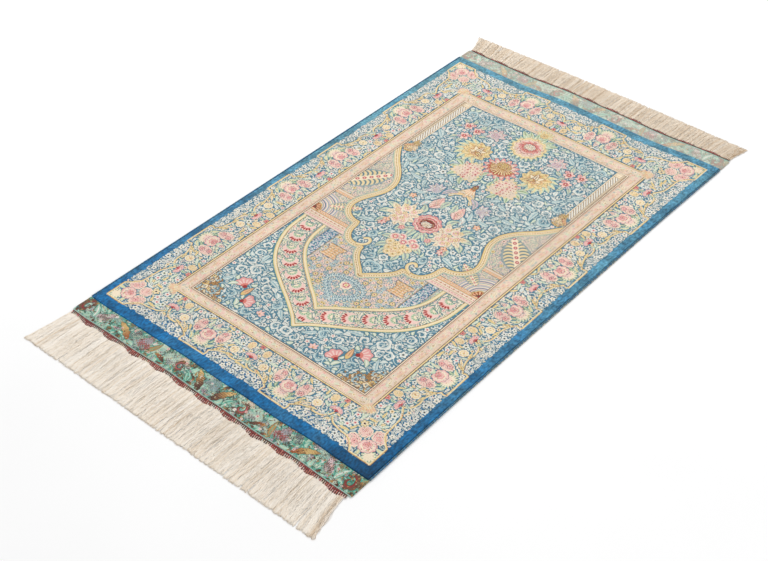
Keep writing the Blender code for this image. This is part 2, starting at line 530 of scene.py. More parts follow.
# For each level, the tries per square centimetre and the motifs with their least and greatest size
VINES = (
    (40, ((blossom(UMBER, 5, WHITE, ICE), 4.8, 6.2), (leaf(WHITE, ICE, 0.35, 0.52), 5.0, 6.8),
          (plume(WHITE, ICE, SKY), 6.0, 7.8), (curl(WHITE, ICE, 0.9, 0.30), 5.0, 6.6),
          (blossom(ROSE, 5, WHITE, BLUSH), 4.4, 5.4), (leaf(MINT, WHITE, 0.35, 0.5), 5.0, 6.4))),
    (60, ((leaf(WHITE, MIST, 0.3, 0.55), 3.6, 5.0), (blossom(UMBER, 5, WHITE, CREAM), 3.4, 4.4),
          (leaf(ICE, WHITE, 0.3, 0.5), 3.4, 4.6), (blossom(BROWN, 5, ICE, WHITE), 3.2, 4.0))),
    (60, ((leaf(WHITE, ICE, 0.3, 0.55), 2.2, 3.2), (leaf(ICE, ICE, 0.2, 0.5), 2.0, 3.0))),
)
LACE = (
    (60, ((blossom(UMBER, 5, WHITE, ICE), 4.6, 5.8), (blossom(SEA, 5, WHITE, CREAM), 4.8, 5.8),
          (plume(WHITE, MIST), 5.0, 6.4))),
    (90, ((blossom(BROWN, 5, WHITE, CREAM), 3.8, 4.8), (acanthus(WHITE, SEA), 4.8, 6.2))),
    (60, ((leaf(MIST, ICE), 2.6, 3.8),)),
)
BORDER_FILL = (
    (40, ((blossom(UMBER, 5, WHITE, MINT), 5.2, 6.4), (acanthus(MINT, WHITE), 7.0, 8.6),
          (blossom(ROSE, 5, WHITE, BLUSH), 5.0, 6.0), (acanthus(STRAW, GOLD), 6.5, 8.2),
          (acanthus(WHITE, ICE), 6.5, 8.5), (curl(WHITE, SEA, 1.1, 0.26), 6.0, 8.0))),
    (80, ((leaf(WHITE, SEA), 4.2, 5.6), (leaf(GOLD, CREAM), 4.2, 5.6), (leaf(CREAM, WHITE), 3.8, 5.2),
          (leaf(MINT, WHITE), 3.8, 5.2), (blossom(BROWN, 5, CREAM, GOLD), 3.6, 4.6))),
    (80, ((leaf(WHITE, WHITE), 2.6, 3.6), (leaf(CREAM, CREAM), 2.4, 3.4), (leaf(BLUSH, WHITE), 2.4, 3.4))),
)
BAND_FILL = (
    (50, ((acanthus(MINT, CREAM, 3), 4.8, 6.6), (blossom(BROWN, 5, CREAM, MINT), 3.6, 4.6),
          (acanthus(CREAM, WHITE, 3), 4.4, 6.0), (blossom(ROSE, 5, BLUSH, CREAM), 3.4, 4.2))),
    (90, ((leaf(MINT, CREAM), 2.6, 3.8), (leaf(CREAM, WHITE), 2.4, 3.4), (leaf(LEAF, MINT), 2.4, 3.2))),
    (60, ((leaf(CREAM, CREAM), 1.5, 2.2), (leaf(MIST, MIST), 1.5, 2.2))),
)
MESH = (
    (60, ((blossom(BROWN, 6, PEACH, GOLD), 4.4, 5.4), (blossom(UMBER, 5, BLUSH, CREAM), 4.2, 5.2),
          (blossom(ROSE, 6, BLUSH, CREAM), 4.0, 5.0), (curl(MIST, ICE, 1.1, 0.26), 5.0, 6.6),
          (blossom(BROWN, 6, STRAW, GOLD), 4.0, 5.0), (curl(ICE, MIST, 1.1, 0.26), 5.0, 6.6))),
    (80, ((leaf(MINT, CREAM), 2.4, 3.6), (leaf(CREAM, APRICOT, 0.2, 0.5), 2.2, 3.2),
          (blossom(BROWN, 5, CREAM, SAND), 2.2, 3.0), (leaf(BLUSH, CREAM), 2.2, 3.2))),
    (90, ((leaf(LILAC, MIST), 1.5, 2.3), (leaf(SAND, CREAM), 1.4, 2.2), (leaf(PEACH, PEACH), 1.2, 2.0))),
)


def overgrow(chart, region, levels, seed, room, outline=None):
    """Fills a region with motifs from large to small."""
    square_cm = region.sum() * KNOT**2 / 100
    for level, (tries, kinds) in enumerate(levels):
        scatter(chart, region, kinds, int(tries * square_cm), seed + level, room, outline)


def sprinkle(chart, region, silks, share, seed):
    """Short stitches of other silks over what is painted."""
    draws = np.random.default_rng(seed)
    rows, columns = np.nonzero(region)
    spots = draws.choice(len(rows), int(share * len(rows)), replace=False)
    picked = draws.choice(silks, len(spots))
    step_row, step_column = draws.integers(-1, 2, (2, len(spots)))
    for ahead, beside in ((0, 0), (1, 0), (2, 0), (0, 1), (1, 1)):
        row = (rows[spots] + ahead * step_row + beside * step_column).clip(0, len(chart.rows) - 1)
        column = (columns[spots] + ahead * step_column - beside * step_row).clip(0, len(chart.columns) - 1)
        within = region[row, column]
        chart.silk[row[within], column[within]] = picked[within]


FIELD_SCROLLS = (
    ICE, plume(WHITE, ICE, SKY), leaf(WHITE, ICE, 0.35, 0.5), plume(ICE, WHITE, SKY),
    blossom(UMBER, 5, WHITE, ICE), plume(WHITE, ICE), leaf(ICE, WHITE, 0.35, 0.5), plume(MINT, WHITE),
)
FIELD_CURLS = (
    (curl(ICE, SKY, 1.15, 0.26), 11.0, 15.0), (curl(WHITE, ICE, 1.2, 0.24), 10.0, 14.0),
    (plume(ICE, WHITE, SKY), 11.0, 15.0), (curl(WHITE, SKY, 1.05, 0.30, 6.5), 10.0, 14.0),
)
GUARD_FLOWERS = (
    (blossom(ROSE, 5, BLUSH, CREAM), 3.2, 4.4), (blossom(SEA, 5, CREAM, MINT), 3.0, 4.0),
    (leaf(SAND, CREAM), 3.6, 5.0), (leaf(PINK, CREAM), 3.4, 4.8), (leaf(CREAM, APRICOT), 3.6, 4.8),
    (acanthus(BLUSH, PINK, 3), 4.4, 6.0), (acanthus(CREAM, SAND, 3), 4.4, 6.0), (leaf(MIST, CREAM), 3.0, 4.2),
    (leaf(SAND, OCHRE), 2.6, 3.6), (blossom(BROWN, 5, CREAM, GOLD), 3.0, 4.0),
)
BUSH = (
    (curl(GOLD, OCHRE, 1.1, 0.26), 5.0, 7.0), (blossom(UMBER, 5, STRAW, GOLD), 3.2, 4.4),
    (curl(CREAM, STRAW, 1.1, 0.26), 4.5, 6.0), (leaf(SAND, CREAM), 3.2, 4.6),
    (acanthus(OCHRE, BROWN, 3), 4.5, 6.5), (curl(SKY, ICE, 1.1, 0.26), 4.5, 6.0), (leaf(ICE, SKY), 3.5, 5.0),
)
BUSH_LEAVES = ((leaf(GOLD, OCHRE), 1.8, 3.0), (leaf(MIST, ICE), 1.8, 3.0), (leaf(OCHRE, BROWN), 1.6, 2.6))
MESH_SCROLLS = (
    CREAM, plume(SAND, CREAM), plume(CREAM, PEACH), plume(BLUSH, CREAM), plume(CREAM, MINT),
    plume(BLUSH, APRICOT),
)
PALE_LEAVES = (
    (curl(LILAC, ICE, 1.1, 0.28), 4.6, 6.4), (plume(WHITE, LILAC), 4.6, 6.0), (leaf(ICE, WHITE), 2.6, 4.0),
    (leaf(LILAC, WHITE), 2.4, 3.6),
)

# The niche's line on the field's side, from the guard down to its point, in lobes that meet in cusps
NICHE_LOBES = (
    ((184, 168), (172, 150), (158, 132), (142, 116), (128, 99), (118, 81), (114, 62), (116, 43), (123, 25),
     (131, 8), (136, -8), (136, -23), (130, -36), (119, -45), (106, -49), (97, -49)),
    ((97, -49), (93, -60), (91, -73), (86, -85), (77, -94), (66, -97), (56, -95)),
    ((44, -99), (41, -110), (34, -121), (22, -133), (10, -143), (0, -153)),
)
NICHE_HOOK = ((60, -99), (51, -94), (46, -86), (48, -78), (54, -75), (59, -79))
OGEE_OUTER = ((181, -98), (180, -125), (177, -150), (167, -178), (154, -202), (136, -224), (116, -241),
              (96, -255), (76, -268), (56, -280), (36, -293), (16, -307), (0, -322))
OGEE_INNER = ((136, -98), (135, -112), (133, -130), (128, -148), (119, -166), (107, -181), (92, -196),
              (74, -211), (58, -223), (42, -235), (26, -246), (12, -257), (0, -268))
OGEE_MIDDLE = tuple(((a + c) / 2, (b + d) / 2) for (a, b), (c, d) in zip(OGEE_OUTER, OGEE_INNER))
COLUMN_U = (168.5, 187.2)
COLUMN_FRONT = 196
RUNG_PITCH = 7.6
RUNG_LEAN = 1.5
LINTEL_Y = (-98.0, -70.0)
LINTEL_U = 90  # the lintel, the arches and the shelf begin here
SHOULDER = (184, 200)  # the back corner of the spandrel, where the niche's line meets the column
ROSETTE = (0, -193)
ARCH_SILKS = (LILAC, SAND, CREAM, MIST, BLUSH, SEA, LILAC, CREAM, MIST)


def along_line(points, spacing, first):
    """Places at even spacing along a smooth line: (u, y, the line's direction)."""
    line = smooth(points, 0.5)
    steps = np.diff(line, axis=0)
    travelled = np.concatenate([[0], np.cumsum(np.hypot(*steps.T))])
    for at in np.arange(first, travelled[-1], spacing):
        i = min(int(np.searchsorted(travelled, at)), len(steps) - 1)
        yield float(line[i, 0]), float(line[i, 1]), math.atan2(steps[i, 1], steps[i, 0])


def drop(x, y):
    """A pale crescent with a row of red beads, over a small green fan."""
    r, a = polar(x, y)
    r_low, a_low = polar(x, y + 0.45)
    crescent = (r < lobes(a, 11, 0.12)) & (r_low > 0.60)
    low_fan = np.abs(a_low) < 1.5
    ribs = (np.abs(a_low) < 1.4) & (np.cos(11 * a_low) > 0)
    paint = layered(
        x, ((r_low < 0.60) & low_fan, MINT), ((r_low < 0.54) & ribs, LEAF), ((r_low < 0.30) & low_fan, CREAM),
        (crescent, CREAM), (crescent & (r < 0.90), BLUSH),
    )
    for place in (-2, -1, 0, 1, 2):
        angle = 0.42 * place
        du, dy = x - 0.69 * math.sin(angle), y + 0.02 - 0.69 * math.cos(angle)
        across = du * math.cos(angle) - dy * math.sin(angle)
        outwards = du * math.sin(angle) + dy * math.cos(angle)
        paint[np.hypot(across / 0.13, outwards / 0.25) < 1] = CORAL
        paint[np.hypot(across / 0.085, (outwards - 0.03) / 0.19) < 1] = WINE
    return paint


def draw_ogee(chart):
    """The keel-shaped band: red-beaded crescents in a row, small leaves and its edge lines."""
    band = inside(chart, np.concatenate([smooth(OGEE_OUTER), smooth(OGEE_INNER)[::-1]]))
    chart.fill(band, SEA)
    for u, y, direction in along_line(OGEE_MIDDLE, 34.5, 20.0):
        chart.stamp(drop, u, y, 15.5, direction - math.pi / 2, rim=SEA)
    overgrow(chart, band, BAND_FILL, 40, 0)
    edge = ((-3.8, -3.0, BROWN), (-3.0, -1.2, STRAW), (-1.2, 0.6, CREAM), (0.6, 2.8, STRAW), (2.8, 3.6, LEAF))
    for points, bands in (
        (OGEE_OUTER, edge),
        (OGEE_INNER, [(-high, -low, silk) for low, high, silk in edge]),
        (OGEE_INNER, ((4.4, 5.2, MIST), (5.2, 6.0, SEA))),
    ):
        signed, _ = near_line(chart, smooth(points), 8)
        signed[chart.rows > OGEE_OUTER[0][1]] = np.inf
        stripes(chart, signed, bands)


def niche_line():
    """The niche's whole line, from the guard to its point."""
    return np.concatenate([smooth(lobe) for lobe in NICHE_LOBES])


def under_niche(chart):
    """Every cell behind the niche's line, up to the spandrel's back edge."""
    return inside(chart, np.concatenate([[(0, SHOULDER[1]), SHOULDER], niche_line()]))


def bounded_by(chart, line):
    """The cells between the axis, the lintel's front and a keel-shaped line that starts there."""
    return inside(chart, np.concatenate([smooth(line), [(0, LINTEL_Y[0])]]))


def draw_niche(chart):
    """The niche's line in stripes with a row of beads, and the hook at its cusp."""
    signed, along = near_line(chart, niche_line(), 14)
    stripes(chart, signed, (
        (-0.7, 0.0, BROWN), (0.0, 1.2, GOLD), (1.2, 3.2, STRAW), (3.2, 4.0, OCHRE), (4.0, 9.8, CREAM),
        (9.8, 10.6, OCHRE), (10.6, 12.2, MINT), (12.2, 12.9, SEA),
    ))
    bead = np.hypot(along % 4.2 - 2.1, signed - 6.9)
    chart.fill(bead < 1.7, GOLD, True)
    chart.fill(bead < 0.8, BROWN, True)
    draw_line(chart, NICHE_HOOK, (
        (-3.4, -2.7, BROWN), (-2.7, -1.2, CREAM), (-1.2, 2.7, STRAW), (2.7, 3.4, OCHRE),
    ))


def capital(x, y):
    """A stepped column head: flared slabs over a block."""
    half = np.select([y > 0.55, y > 0.30, y > -0.45, y > -0.70], [0.95, 0.80, 0.62, 0.78], 0.92)
    body = (np.abs(x) < half) & (np.abs(y) < 0.95)
    slab = (y * 3.2 + 0.08 * np.sin(9 * x)) % 1
    dots = body & (slab < 0.55) & (np.cos(15 * x) > 0.35)
    return layered(
        x, (body, APRICOT), (body & (slab > 0.62), GOLD), (dots, PEACH), (body & (slab > 0.88), RUST),
    )


def feather(x, y):
    """A feathered leaf along y: curved ribs on both sides of a row of beads."""
    share = ((y + 1) / 2).clip(0, 1)
    half = 0.64 * np.sin(np.pi * share**0.85) ** 0.75
    rib = np.sin(34 * (y - 1.2 * np.abs(x) + 1.9 * x**2))
    body = np.abs(x) < half
    spine = body & (np.abs(x) < 0.14)
    bead = np.hypot(x, (y * 3.6 + 50) % 1 / 3.6 - 0.139)
    return layered(
        x, (body, STRAW), (body & (rib > -0.5), SAND), (body & (rib > 0.5), SEA),
        (body & (np.abs(x) > 0.88 * half), MIST), (spine, CREAM),
        (spine & (bead < 0.085), ROSE), (spine & (bead < 0.03), CREAM),
    )


def quarter_arches(chart, region, u, y, start, stop, step, silks):
    """Rings round a place, in the given silks one after another."""
    dy, du = np.meshgrid(chart.rows - y, chart.columns - u, indexing="ij")
    r = np.hypot(du, dy)
    number = np.floor((r - start) / step).astype(int)
    for i, silk in enumerate(silks):
        chart.fill(region & (r >= start) & (r < stop) & (number % len(silks) == i), silk, True)


def draw_column(chart):
    """The strip beside the upper field. Its rungs come later, on the whole sheet."""
    low, high = COLUMN_U
    chart.fill(chart.box(low, high, COLUMN_FRONT, FIELD_BACK), CREAM, True)
    lines = ((low, 0.7, SEA), (low + 2.2, 0.7, OCHRE), (high - 5, 0.7, BROWN), (high - 3.6, 2.4, SAND),
             (high - 1.2, 0.7, BROWN))
    for at, width, silk in lines:
        chart.fill(chart.box(at, at + width, COLUMN_FRONT, FIELD_BACK), silk, True)
    for at in (FIELD_BACK - 3, FIELD_BACK - 9, FIELD_BACK - 13.5):
        chart.fill(chart.box(low - 2, high, at, at + 0.8), OCHRE, True)


def add_rungs(silk, x, y):
    """Slanted rungs on the two column strips of the whole sheet, which lean the same way on both sides."""
    low, high = COLUMN_U
    dy, dx = np.meshgrid(y, x, indexing="ij")
    strip = (np.abs(dx) > low + 3) & (np.abs(dx) < high - 5) & (dy > COLUMN_FRONT) & (dy < FIELD_BACK - 14)
    ground = strip & (silk == CREAM)
    slant = (dy + RUNG_LEAN * dx) % RUNG_PITCH
    silk[ground] = WHITE
    for width, shade in ((3.6, CREAM), (2.6, SAND), (1.5, BROWN)):
        silk[ground & (slant < width)] = shade


def stripes_across(chart, region, bands):
    """Fills bands over the width of a region: each is where it starts and ends in y, and its silk."""
    for start, end, silk in bands:
        chart.fill(region & chart.box(LINTEL_U, FIELD_U, start, end), silk, True)


def draw_spandrel(chart):
    """Between the guard and the niche's line: feathered leaves, arches, a shelf and the lintel."""
    low, high = LINTEL_Y
    region = chart.box(0, FIELD_U, low, SHOULDER[1]) & ~under_niche(chart)
    chart.fill(region, SEA)
    lintel = region & chart.box(LINTEL_U, FIELD_U, low, high)
    chart.fill(lintel, PEACH, True)
    stripes_across(chart, lintel, (
        (high - 1, high, BROWN), (high - 8, high - 1, APRICOT), (high - 9, high - 8, OCHRE),
        (low + 9, low + 10, OCHRE), (low + 4, low + 8, BLUSH), (low, low + 1, BROWN),
    ))
    for u in np.arange(104, 186, 9.0):
        chart.stamp(blossom(ROSE, 5, CREAM, BLUSH), u, low + 14, 3.6)
        chart.stamp(leaf(RUST, ORANGE), u + 4.5, low + 14, 2.8)
    for u in np.arange(102, 186, 6.0):
        chart.stamp(leaf(CREAM, RUST, 0.2, 0.6), u, high - 4.5, 2.6, 0.5)
        chart.stamp(leaf(ROSE, ROSE), u + 3, low + 6, 1.6)
    arches = region & chart.box(LINTEL_U, FIELD_U, high, -10)
    quarter_arches(chart, arches, 190, high, 12, 50, 1.9, ARCH_SILKS)
    chart.stamp(fan(APRICOT, RUST, BROWN, GOLD, 1.5, 6), 184, high + 4, (13, 11), 0.5, rim=BROWN)
    chart.stamp(feather, 142, high + 34, (20, 30), 1.0, rim=MIST)
    shelf = region & chart.box(LINTEL_U, FIELD_U, -14, -2)
    stripes_across(chart, shelf, (
        (-14, -13, BROWN), (-13, -8, APRICOT), (-8, -7, OCHRE), (-7, -3, PEACH), (-3, -2, OCHRE),
    ))
    for u in np.arange(150, 186, 6.0):
        chart.stamp(leaf(CREAM, RUST, 0.2, 0.6), u, -10.5, 2.2, 0.5)
    chart.stamp(feather, 170, 56, (40, 46), 0.70, rim=MIST)
    scrolls(chart, region, 20, 9.5, 15, MESH_SCROLLS, SEA)
    overgrow(chart, region, MESH, 60, 0, SEA)


def draw_room(chart):
    """The mesh-filled room under the niche, inside the keel-shaped band."""
    front = LINTEL_Y[0]
    region = bounded_by(chart, OGEE_INNER) & ~under_niche(chart)
    chart.fill(region, SEA)
    chart.stamp(capital, 77, -142, (19, 17), rim=BROWN)
    head = region & chart.box(56, 98, -160, -124) & chart.taken
    sprinkle(chart, head, (OCHRE, PEACH, CREAM, SEA), 0.030, 18)
    strip = region & chart.box(102, 124, -182, front)
    chart.fill(strip & ~chart.taken, SLATE)
    scatter(chart, strip, PALE_LEAVES, 2600, 71, 0, SLATE)
    chart.taken |= strip
    for u, silk in ((101, OCHRE), (124, OCHRE), (127, MINT)):
        chart.fill(region & chart.box(u, u + 1, -185, front), silk, True)
    chart.stamp(rose(CREAM, BLUSH, ROSE, GOLD, ICE), *ROSETTE, 12.5, rim=SEA)
    for reach, spacing, size in ((1.0, 8.4, 5.0), (0.74, 7.2, 3.6)):
        ring = [(reach * u, -206 + reach * y) for u, y in ((0, 31), (26, 25), (40, 9), (28, -10), (0, -32))]
        for u, y, direction in along_line(ring, spacing, 2.0):
            chart.stamp(curl(ICE, WHITE, 1.1, 0.30), u, y, size, direction, rim=SLATE)
    for u, y in ((38, -150), (22, -168), (52, -180), (70, -186), (60, -205), (44, -216), (90, -178)):
        chart.stamp(blossom(WINE, 7, GOLD, CREAM), u, y, 5.4, rim=SEA)
    overgrow(chart, region, MESH, 70, 0, SLATE)


def draw_lower_field(chart):
    """The field in front of the keel-shaped band, with a bush of gold leaves in its corner."""
    region = chart.box(0, FIELD_U, FIELD_FRONT, LINTEL_Y[0]) & ~bounded_by(chart, OGEE_OUTER)
    chart.fill(region & ~chart.taken, BLUE)
    region &= ~chart.taken
    for u, y, size, turn in ((134, -300, 17, -0.9), (98, -330, 16, 1.0)):
        chart.stamp(fan(BLUSH, PINK, CORAL, PINK, 1.0, 5), u, y, size, turn, rim=BROWN)
        chart.stamp(leaf(MINT, WHITE), u + 14, y - 12, 9, turn, rim=SEA)
    chart.stamp(bud(APRICOT, OCHRE, GOLD), 115, -312, (12, 13), 0.2, rim=BROWN)
    chart.stamp(lily(BLUSH, PINK, APRICOT), 60, -338, 10, 0.4, rim=SEA)
    for u, y, size, turn, flip in ((140, -262, 17, 0.4, False), (168, -226, 12, 1.2, False),
                                   (20, -342, 12, 0.5, False), (80, -300, 12, 2.0, True)):
        chart.stamp(curl(WHITE, ICE, 1.2, 0.18), u, y, size, turn, flip)
    dy, du = np.meshgrid(chart.rows - FIELD_FRONT, FIELD_U - chart.columns, indexing="ij")
    corner = region & (du + dy < 60 + 6 * np.sin(du / 2.6) + 5 * np.sin(dy / 2.1))
    chart.fill(corner & ~chart.taken, SEA)
    scatter(chart, corner, BUSH, 2200, 80, 0, UMBER)
    scatter(chart, corner, BUSH_LEAVES, 2600, 81, 0, BROWN)
    scatter(chart, region, FIELD_CURLS, 500, 89, 2, DEEP)
    scrolls(chart, region, 44, 20, 9, FIELD_SCROLLS)
    overgrow(chart, region, VINES, 90, 1, DEEP)


def draw_upper_field(chart):
    """The field in and behind the niche, up to the column. Returns its cells."""
    corner, shoulder = (COLUMN_U[0], FIELD_BACK), SHOULDER[0]
    edge = [(0, FIELD_BACK), corner, (corner[0], COLUMN_FRONT), (shoulder, COLUMN_FRONT), (shoulder, 168)]
    region = inside(chart, np.concatenate([edge, niche_line()]))
    chart.fill(region, BLUE)
    return region


def round_place(u, y, across, along, turns):
    """Places on an ellipse round one: (u, y, turn), where that turn points a leaf outwards."""
    return [(u + across * math.sin(t), y + along * math.cos(t), math.pi / 2 - t) for t in turns]


def draw_bouquets(chart):
    """The flowers on the axis and beside it, from the back down."""
    def put(motif, u, y, size, turn=0.0, rim=DEEP):
        chart.stamp(motif, u, y, size, turn, rim=rim)

    def put_all(motif, places, size, rim=DEEP):
        for place in places:
            put(motif, *place[:2], size, *place[2:], rim=rim)

    before = chart.taken.copy()
    put(mottled(GOLD, BROWN, STRAW, OCHRE, CREAM), 171, 184, (15, 21), 0.3, rim=None)
    for u, y, turn, body, vein in ((172, 198, 1.2, GOLD, BROWN), (178, 184, 1.9, APRICOT, OCHRE),
                                   (163, 182, 0.6, CREAM, OCHRE), (170, 168, 2.6, GOLD, BROWN)):
        put(acanthus(body, vein), u, y, 9, turn, rim=BROWN)

    # the great round flower at the back
    turns = (-0.9, -0.55, -0.2, 0.2, 0.55, 0.9)
    put_all(leaf(MINT, LEAF, 0.1), round_place(0, 338, 38, 14, turns), 14, LEAF)
    put(spiky(CREAM, MINT, 24), 0, 318, (41, 41), rim=LEAF)
    put(ruffled(CREAM, SAND, STRAW, BLUSH), 0, 318, (35, 33), rim=OCHRE)
    put(ruffled(BLUSH, CORAL, PEACH, WINE), 0, 319, (28, 26), rim=CORAL)
    put(ruffled(CORAL, WINE, PINK, WINE), 0, 321, (20, 17), rim=ROSE)
    put(ruffled(CREAM, BROWN, WHITE, BROWN), 0, 322, (12, 9), rim=BROWN)

    # small flowers beside it, and a lilac one
    put_all(leaf(MINT, MIST), (
        (146, 314, 0.3), (146, 294, -0.6), (130, 322, 1.4), (102, 279, -2.2), (134, 260, -0.9),
        (90, 292, 2.6), (106, 316, 1.9), (118, 255, -1.6)), 9, SEA)
    for u, y in ((132, 304), (108, 299), (119, 273)):
        put(blossom(CORAL, 6, BLUSH, PINK), u, y, 11.5, rim=BROWN)
        put(blossom(CREAM, 5, ROSE, WINE), u, y, 5.5, rim=None)
        put(blossom(SEA, 5, LILAC, ICE), u + 9, y - 6, 4.4)
        put(blossom(WINE, 5, PINK, BLUSH), u - 8, y + 6, 5)
    turns = (-2.4, -1.5, -0.8, 0.0, 0.8, 1.5, 2.4)
    put_all(leaf(BLUSH, LILAC, 0.1, 0.42), round_place(72, 311, 12, 12, turns), 9)
    put(ruffled(LILAC, ROSE, WHITE, WINE), 72, 310, 12, rim=SEA)

    # the gold flower with mint leaves, seen from the side
    turns = (0.7, 1.1, 1.5, 1.9, 2.3, 2.7, 3.1, 3.6)
    put_all(leaf(MINT, STRAW, 0.35, 0.34), round_place(71, 247, 27, 24, turns), 16, SEA)
    turns = (-2.2, 2.9, -1.6, 2.3, -1.0, 1.7, -0.4, 1.1, 0.3)
    put_all(leaf(STRAW, GOLD, 0.2, 0.62), round_place(69, 249, 15, 14, turns), 15, BROWN)
    put(ruffled(APRICOT, OCHRE, GOLD, BROWN), 69, 249, (18, 16), rim=OCHRE)
    put(lily(CREAM, GOLD, OCHRE, 0.85), 68, 250, 18, 0.15, rim=BROWN)
    put(bud(CREAM, BROWN, GOLD), 67, 254, 12, 0.2, rim=BROWN)
    put(bud(STRAW, BROWN, OCHRE), 61, 243, 11, 1.9, rim=BROWN)

    # the spiky flower on the axis, the clusters beside it and the trumpet below
    put(spiky(PEACH, PINK, 15), 0, 234, (37, 32), rim=CORAL)
    put(fan(STRAW, RUST, OCHRE, CORAL, 1.5, 13), 0, 229, (25, 22), math.pi, rim=RUST)
    put(ruffled(GOLD, BROWN, OCHRE, UMBER), 0, 245, (16, 10), rim=BROWN)
    put_all(leaf(MINT, LEAF, 0.3, 0.42), (
        (18, 202, 2.4), (74, 204, 0.3), (36, 160, -1.9), (62, 168, -0.9), (16, 184, 2.0), (72, 186, -0.2),
        (44, 212, 1.2)), 12, SEA)
    put(bouquet_cluster(PEACH, (BLUSH, CREAM, PINK), WINE, STRAW), 42, 190, 34, 0.15, rim=SAND)
    put(fan(CREAM, APRICOT, ORANGE, SAND, 0.62, 5), 0, 146, (24, 26), math.pi, rim=BROWN)
    put(bud(OCHRE, BROWN, UMBER), 0, 158, (10, 9), math.pi, rim=BROWN)
    for turn, silk in ((-1.15, STRAW), (-0.85, WHITE), (-0.5, STRAW)):
        put(leaf(silk, APRICOT, 0.1, 0.22), 17, 124, 17, turn, rim=SEA)
    put_all(leaf(LILAC, WHITE, 0.1, 0.40), round_place(52, 110, 10, 10, (-0.5, 0.1, 0.7, 1.5, 2.4)), 10)
    put(ruffled(LILAC, SEA, WHITE, BROWN), 52, 110, (12, 10), 0.9, rim=SEA)
    put(leaf(LILAC, MIST, 0.4, 0.3), 28, 118, 16, -0.9, rim=SEA)
    put(leaf(BLUSH, PINK, 0.1, 0.5), 25, 80, 19, 1.66, rim=BROWN)
    put(mottled(PINK, CREAM, CORAL, BLUSH, BROWN), 25, 79, (6, 14), -0.1, rim=None)
    put(leaf(MINT, MIST), 9, 84, 14, -1.45, rim=SEA)
    put(leaf(ICE, WHITE), 42, 66, 13, -1.2)
    put(blossom(UMBER, 5, ICE, WHITE), 0, 104, 6)
    put(blossom(ORANGE, 5, APRICOT, BLUSH), 74, 70, 7.5)

    # the bouquet in the niche: leaves, a ring of pale petals, roses, and the red flower
    put_all(leaf(MINT, MIST, 0.3, 0.42), (
        (16, -10, -0.9), (6, -18, -1.5), (84, 26, 0.2), (84, 4, -0.6), (70, 46, 0.9), (34, 52, 1.2),
        (32, -48, -0.3), (26, -72, -0.9), (12, -84, -1.3), (72, -20, -1.0), (30, -16, -0.8)), 13, SEA)
    petals = ((36, 40), (52, 42), (64, 34), (76, 26), (74, 10), (62, 0), (48, -8), (36, -4), (32, 12),
              (32, 26))
    for u, y in petals:
        put(leaf(CREAM, SAND, 0.2, 0.5), u, y, 10, math.atan2(y - 18, u - 54), rim=SAND)
    roses = ((40, 32, 9), (56, 34, 10), (68, 22, 9), (60, 14, 10), (44, 16, 9), (54, -2, 9), (40, 2, 8))
    for u, y, size in roses:
        put(rose(CREAM, BLUSH, PINK, GOLD, WHITE), u, y, size, rim=SAND)
        put(blossom(OCHRE, 5, STRAW, PEACH), u + 7, y + 5, 4.5, rim=OCHRE)
    put(blossom(ROSE, 5, PINK, BLUSH), 30, -14, 6, rim=ROSE)
    put(blossom(ORANGE, 5, APRICOT, BLUSH), 66, -14, 7, rim=ORANGE)
    put(ruffled(BLUSH, CORAL, PINK, WINE), 0, 22, (27, 26), rim=ROSE)
    put(rose(PINK, CORAL, BROWN, CREAM, ROSE), 0, 21, (20, 18), rim=BROWN)
    put(ruffled(WINE, UMBER, BROWN, BROWN), 2, 22, (14, 12), rim=CORAL)
    put(ruffled(CREAM, BROWN, WHITE, BROWN), 0, 19, (11, 8), rim=BROWN)
    put_all(rose(BLUSH, PINK, ROSE, CREAM, WHITE), ((12, -34), (0, -44), (22, -40)), 9.5, SAND)
    low_roses = ((8, -56), (20, -56), (0, -66), (12, -70), (6, -80))
    put_all(rose(STRAW, CREAM, GOLD, OCHRE, CREAM), low_roses, 8, OCHRE)
    put(lily(BLUSH, CORAL, ROSE), 68, -24, 10, 2.4)
    sprinkle(chart, chart.taken & ~before, (BROWN, CREAM, CREAM, ROSE, OCHRE, SEA, STRAW), 0.030, 7)


def frame_line(chart, edge, width, silk):
    """A line round the whole design."""
    u, front, back = edge
    outer = chart.box(0, u + width, front - width, back + width)
    chart.fill(outer & ~chart.box(0, u, front, back), silk, True)


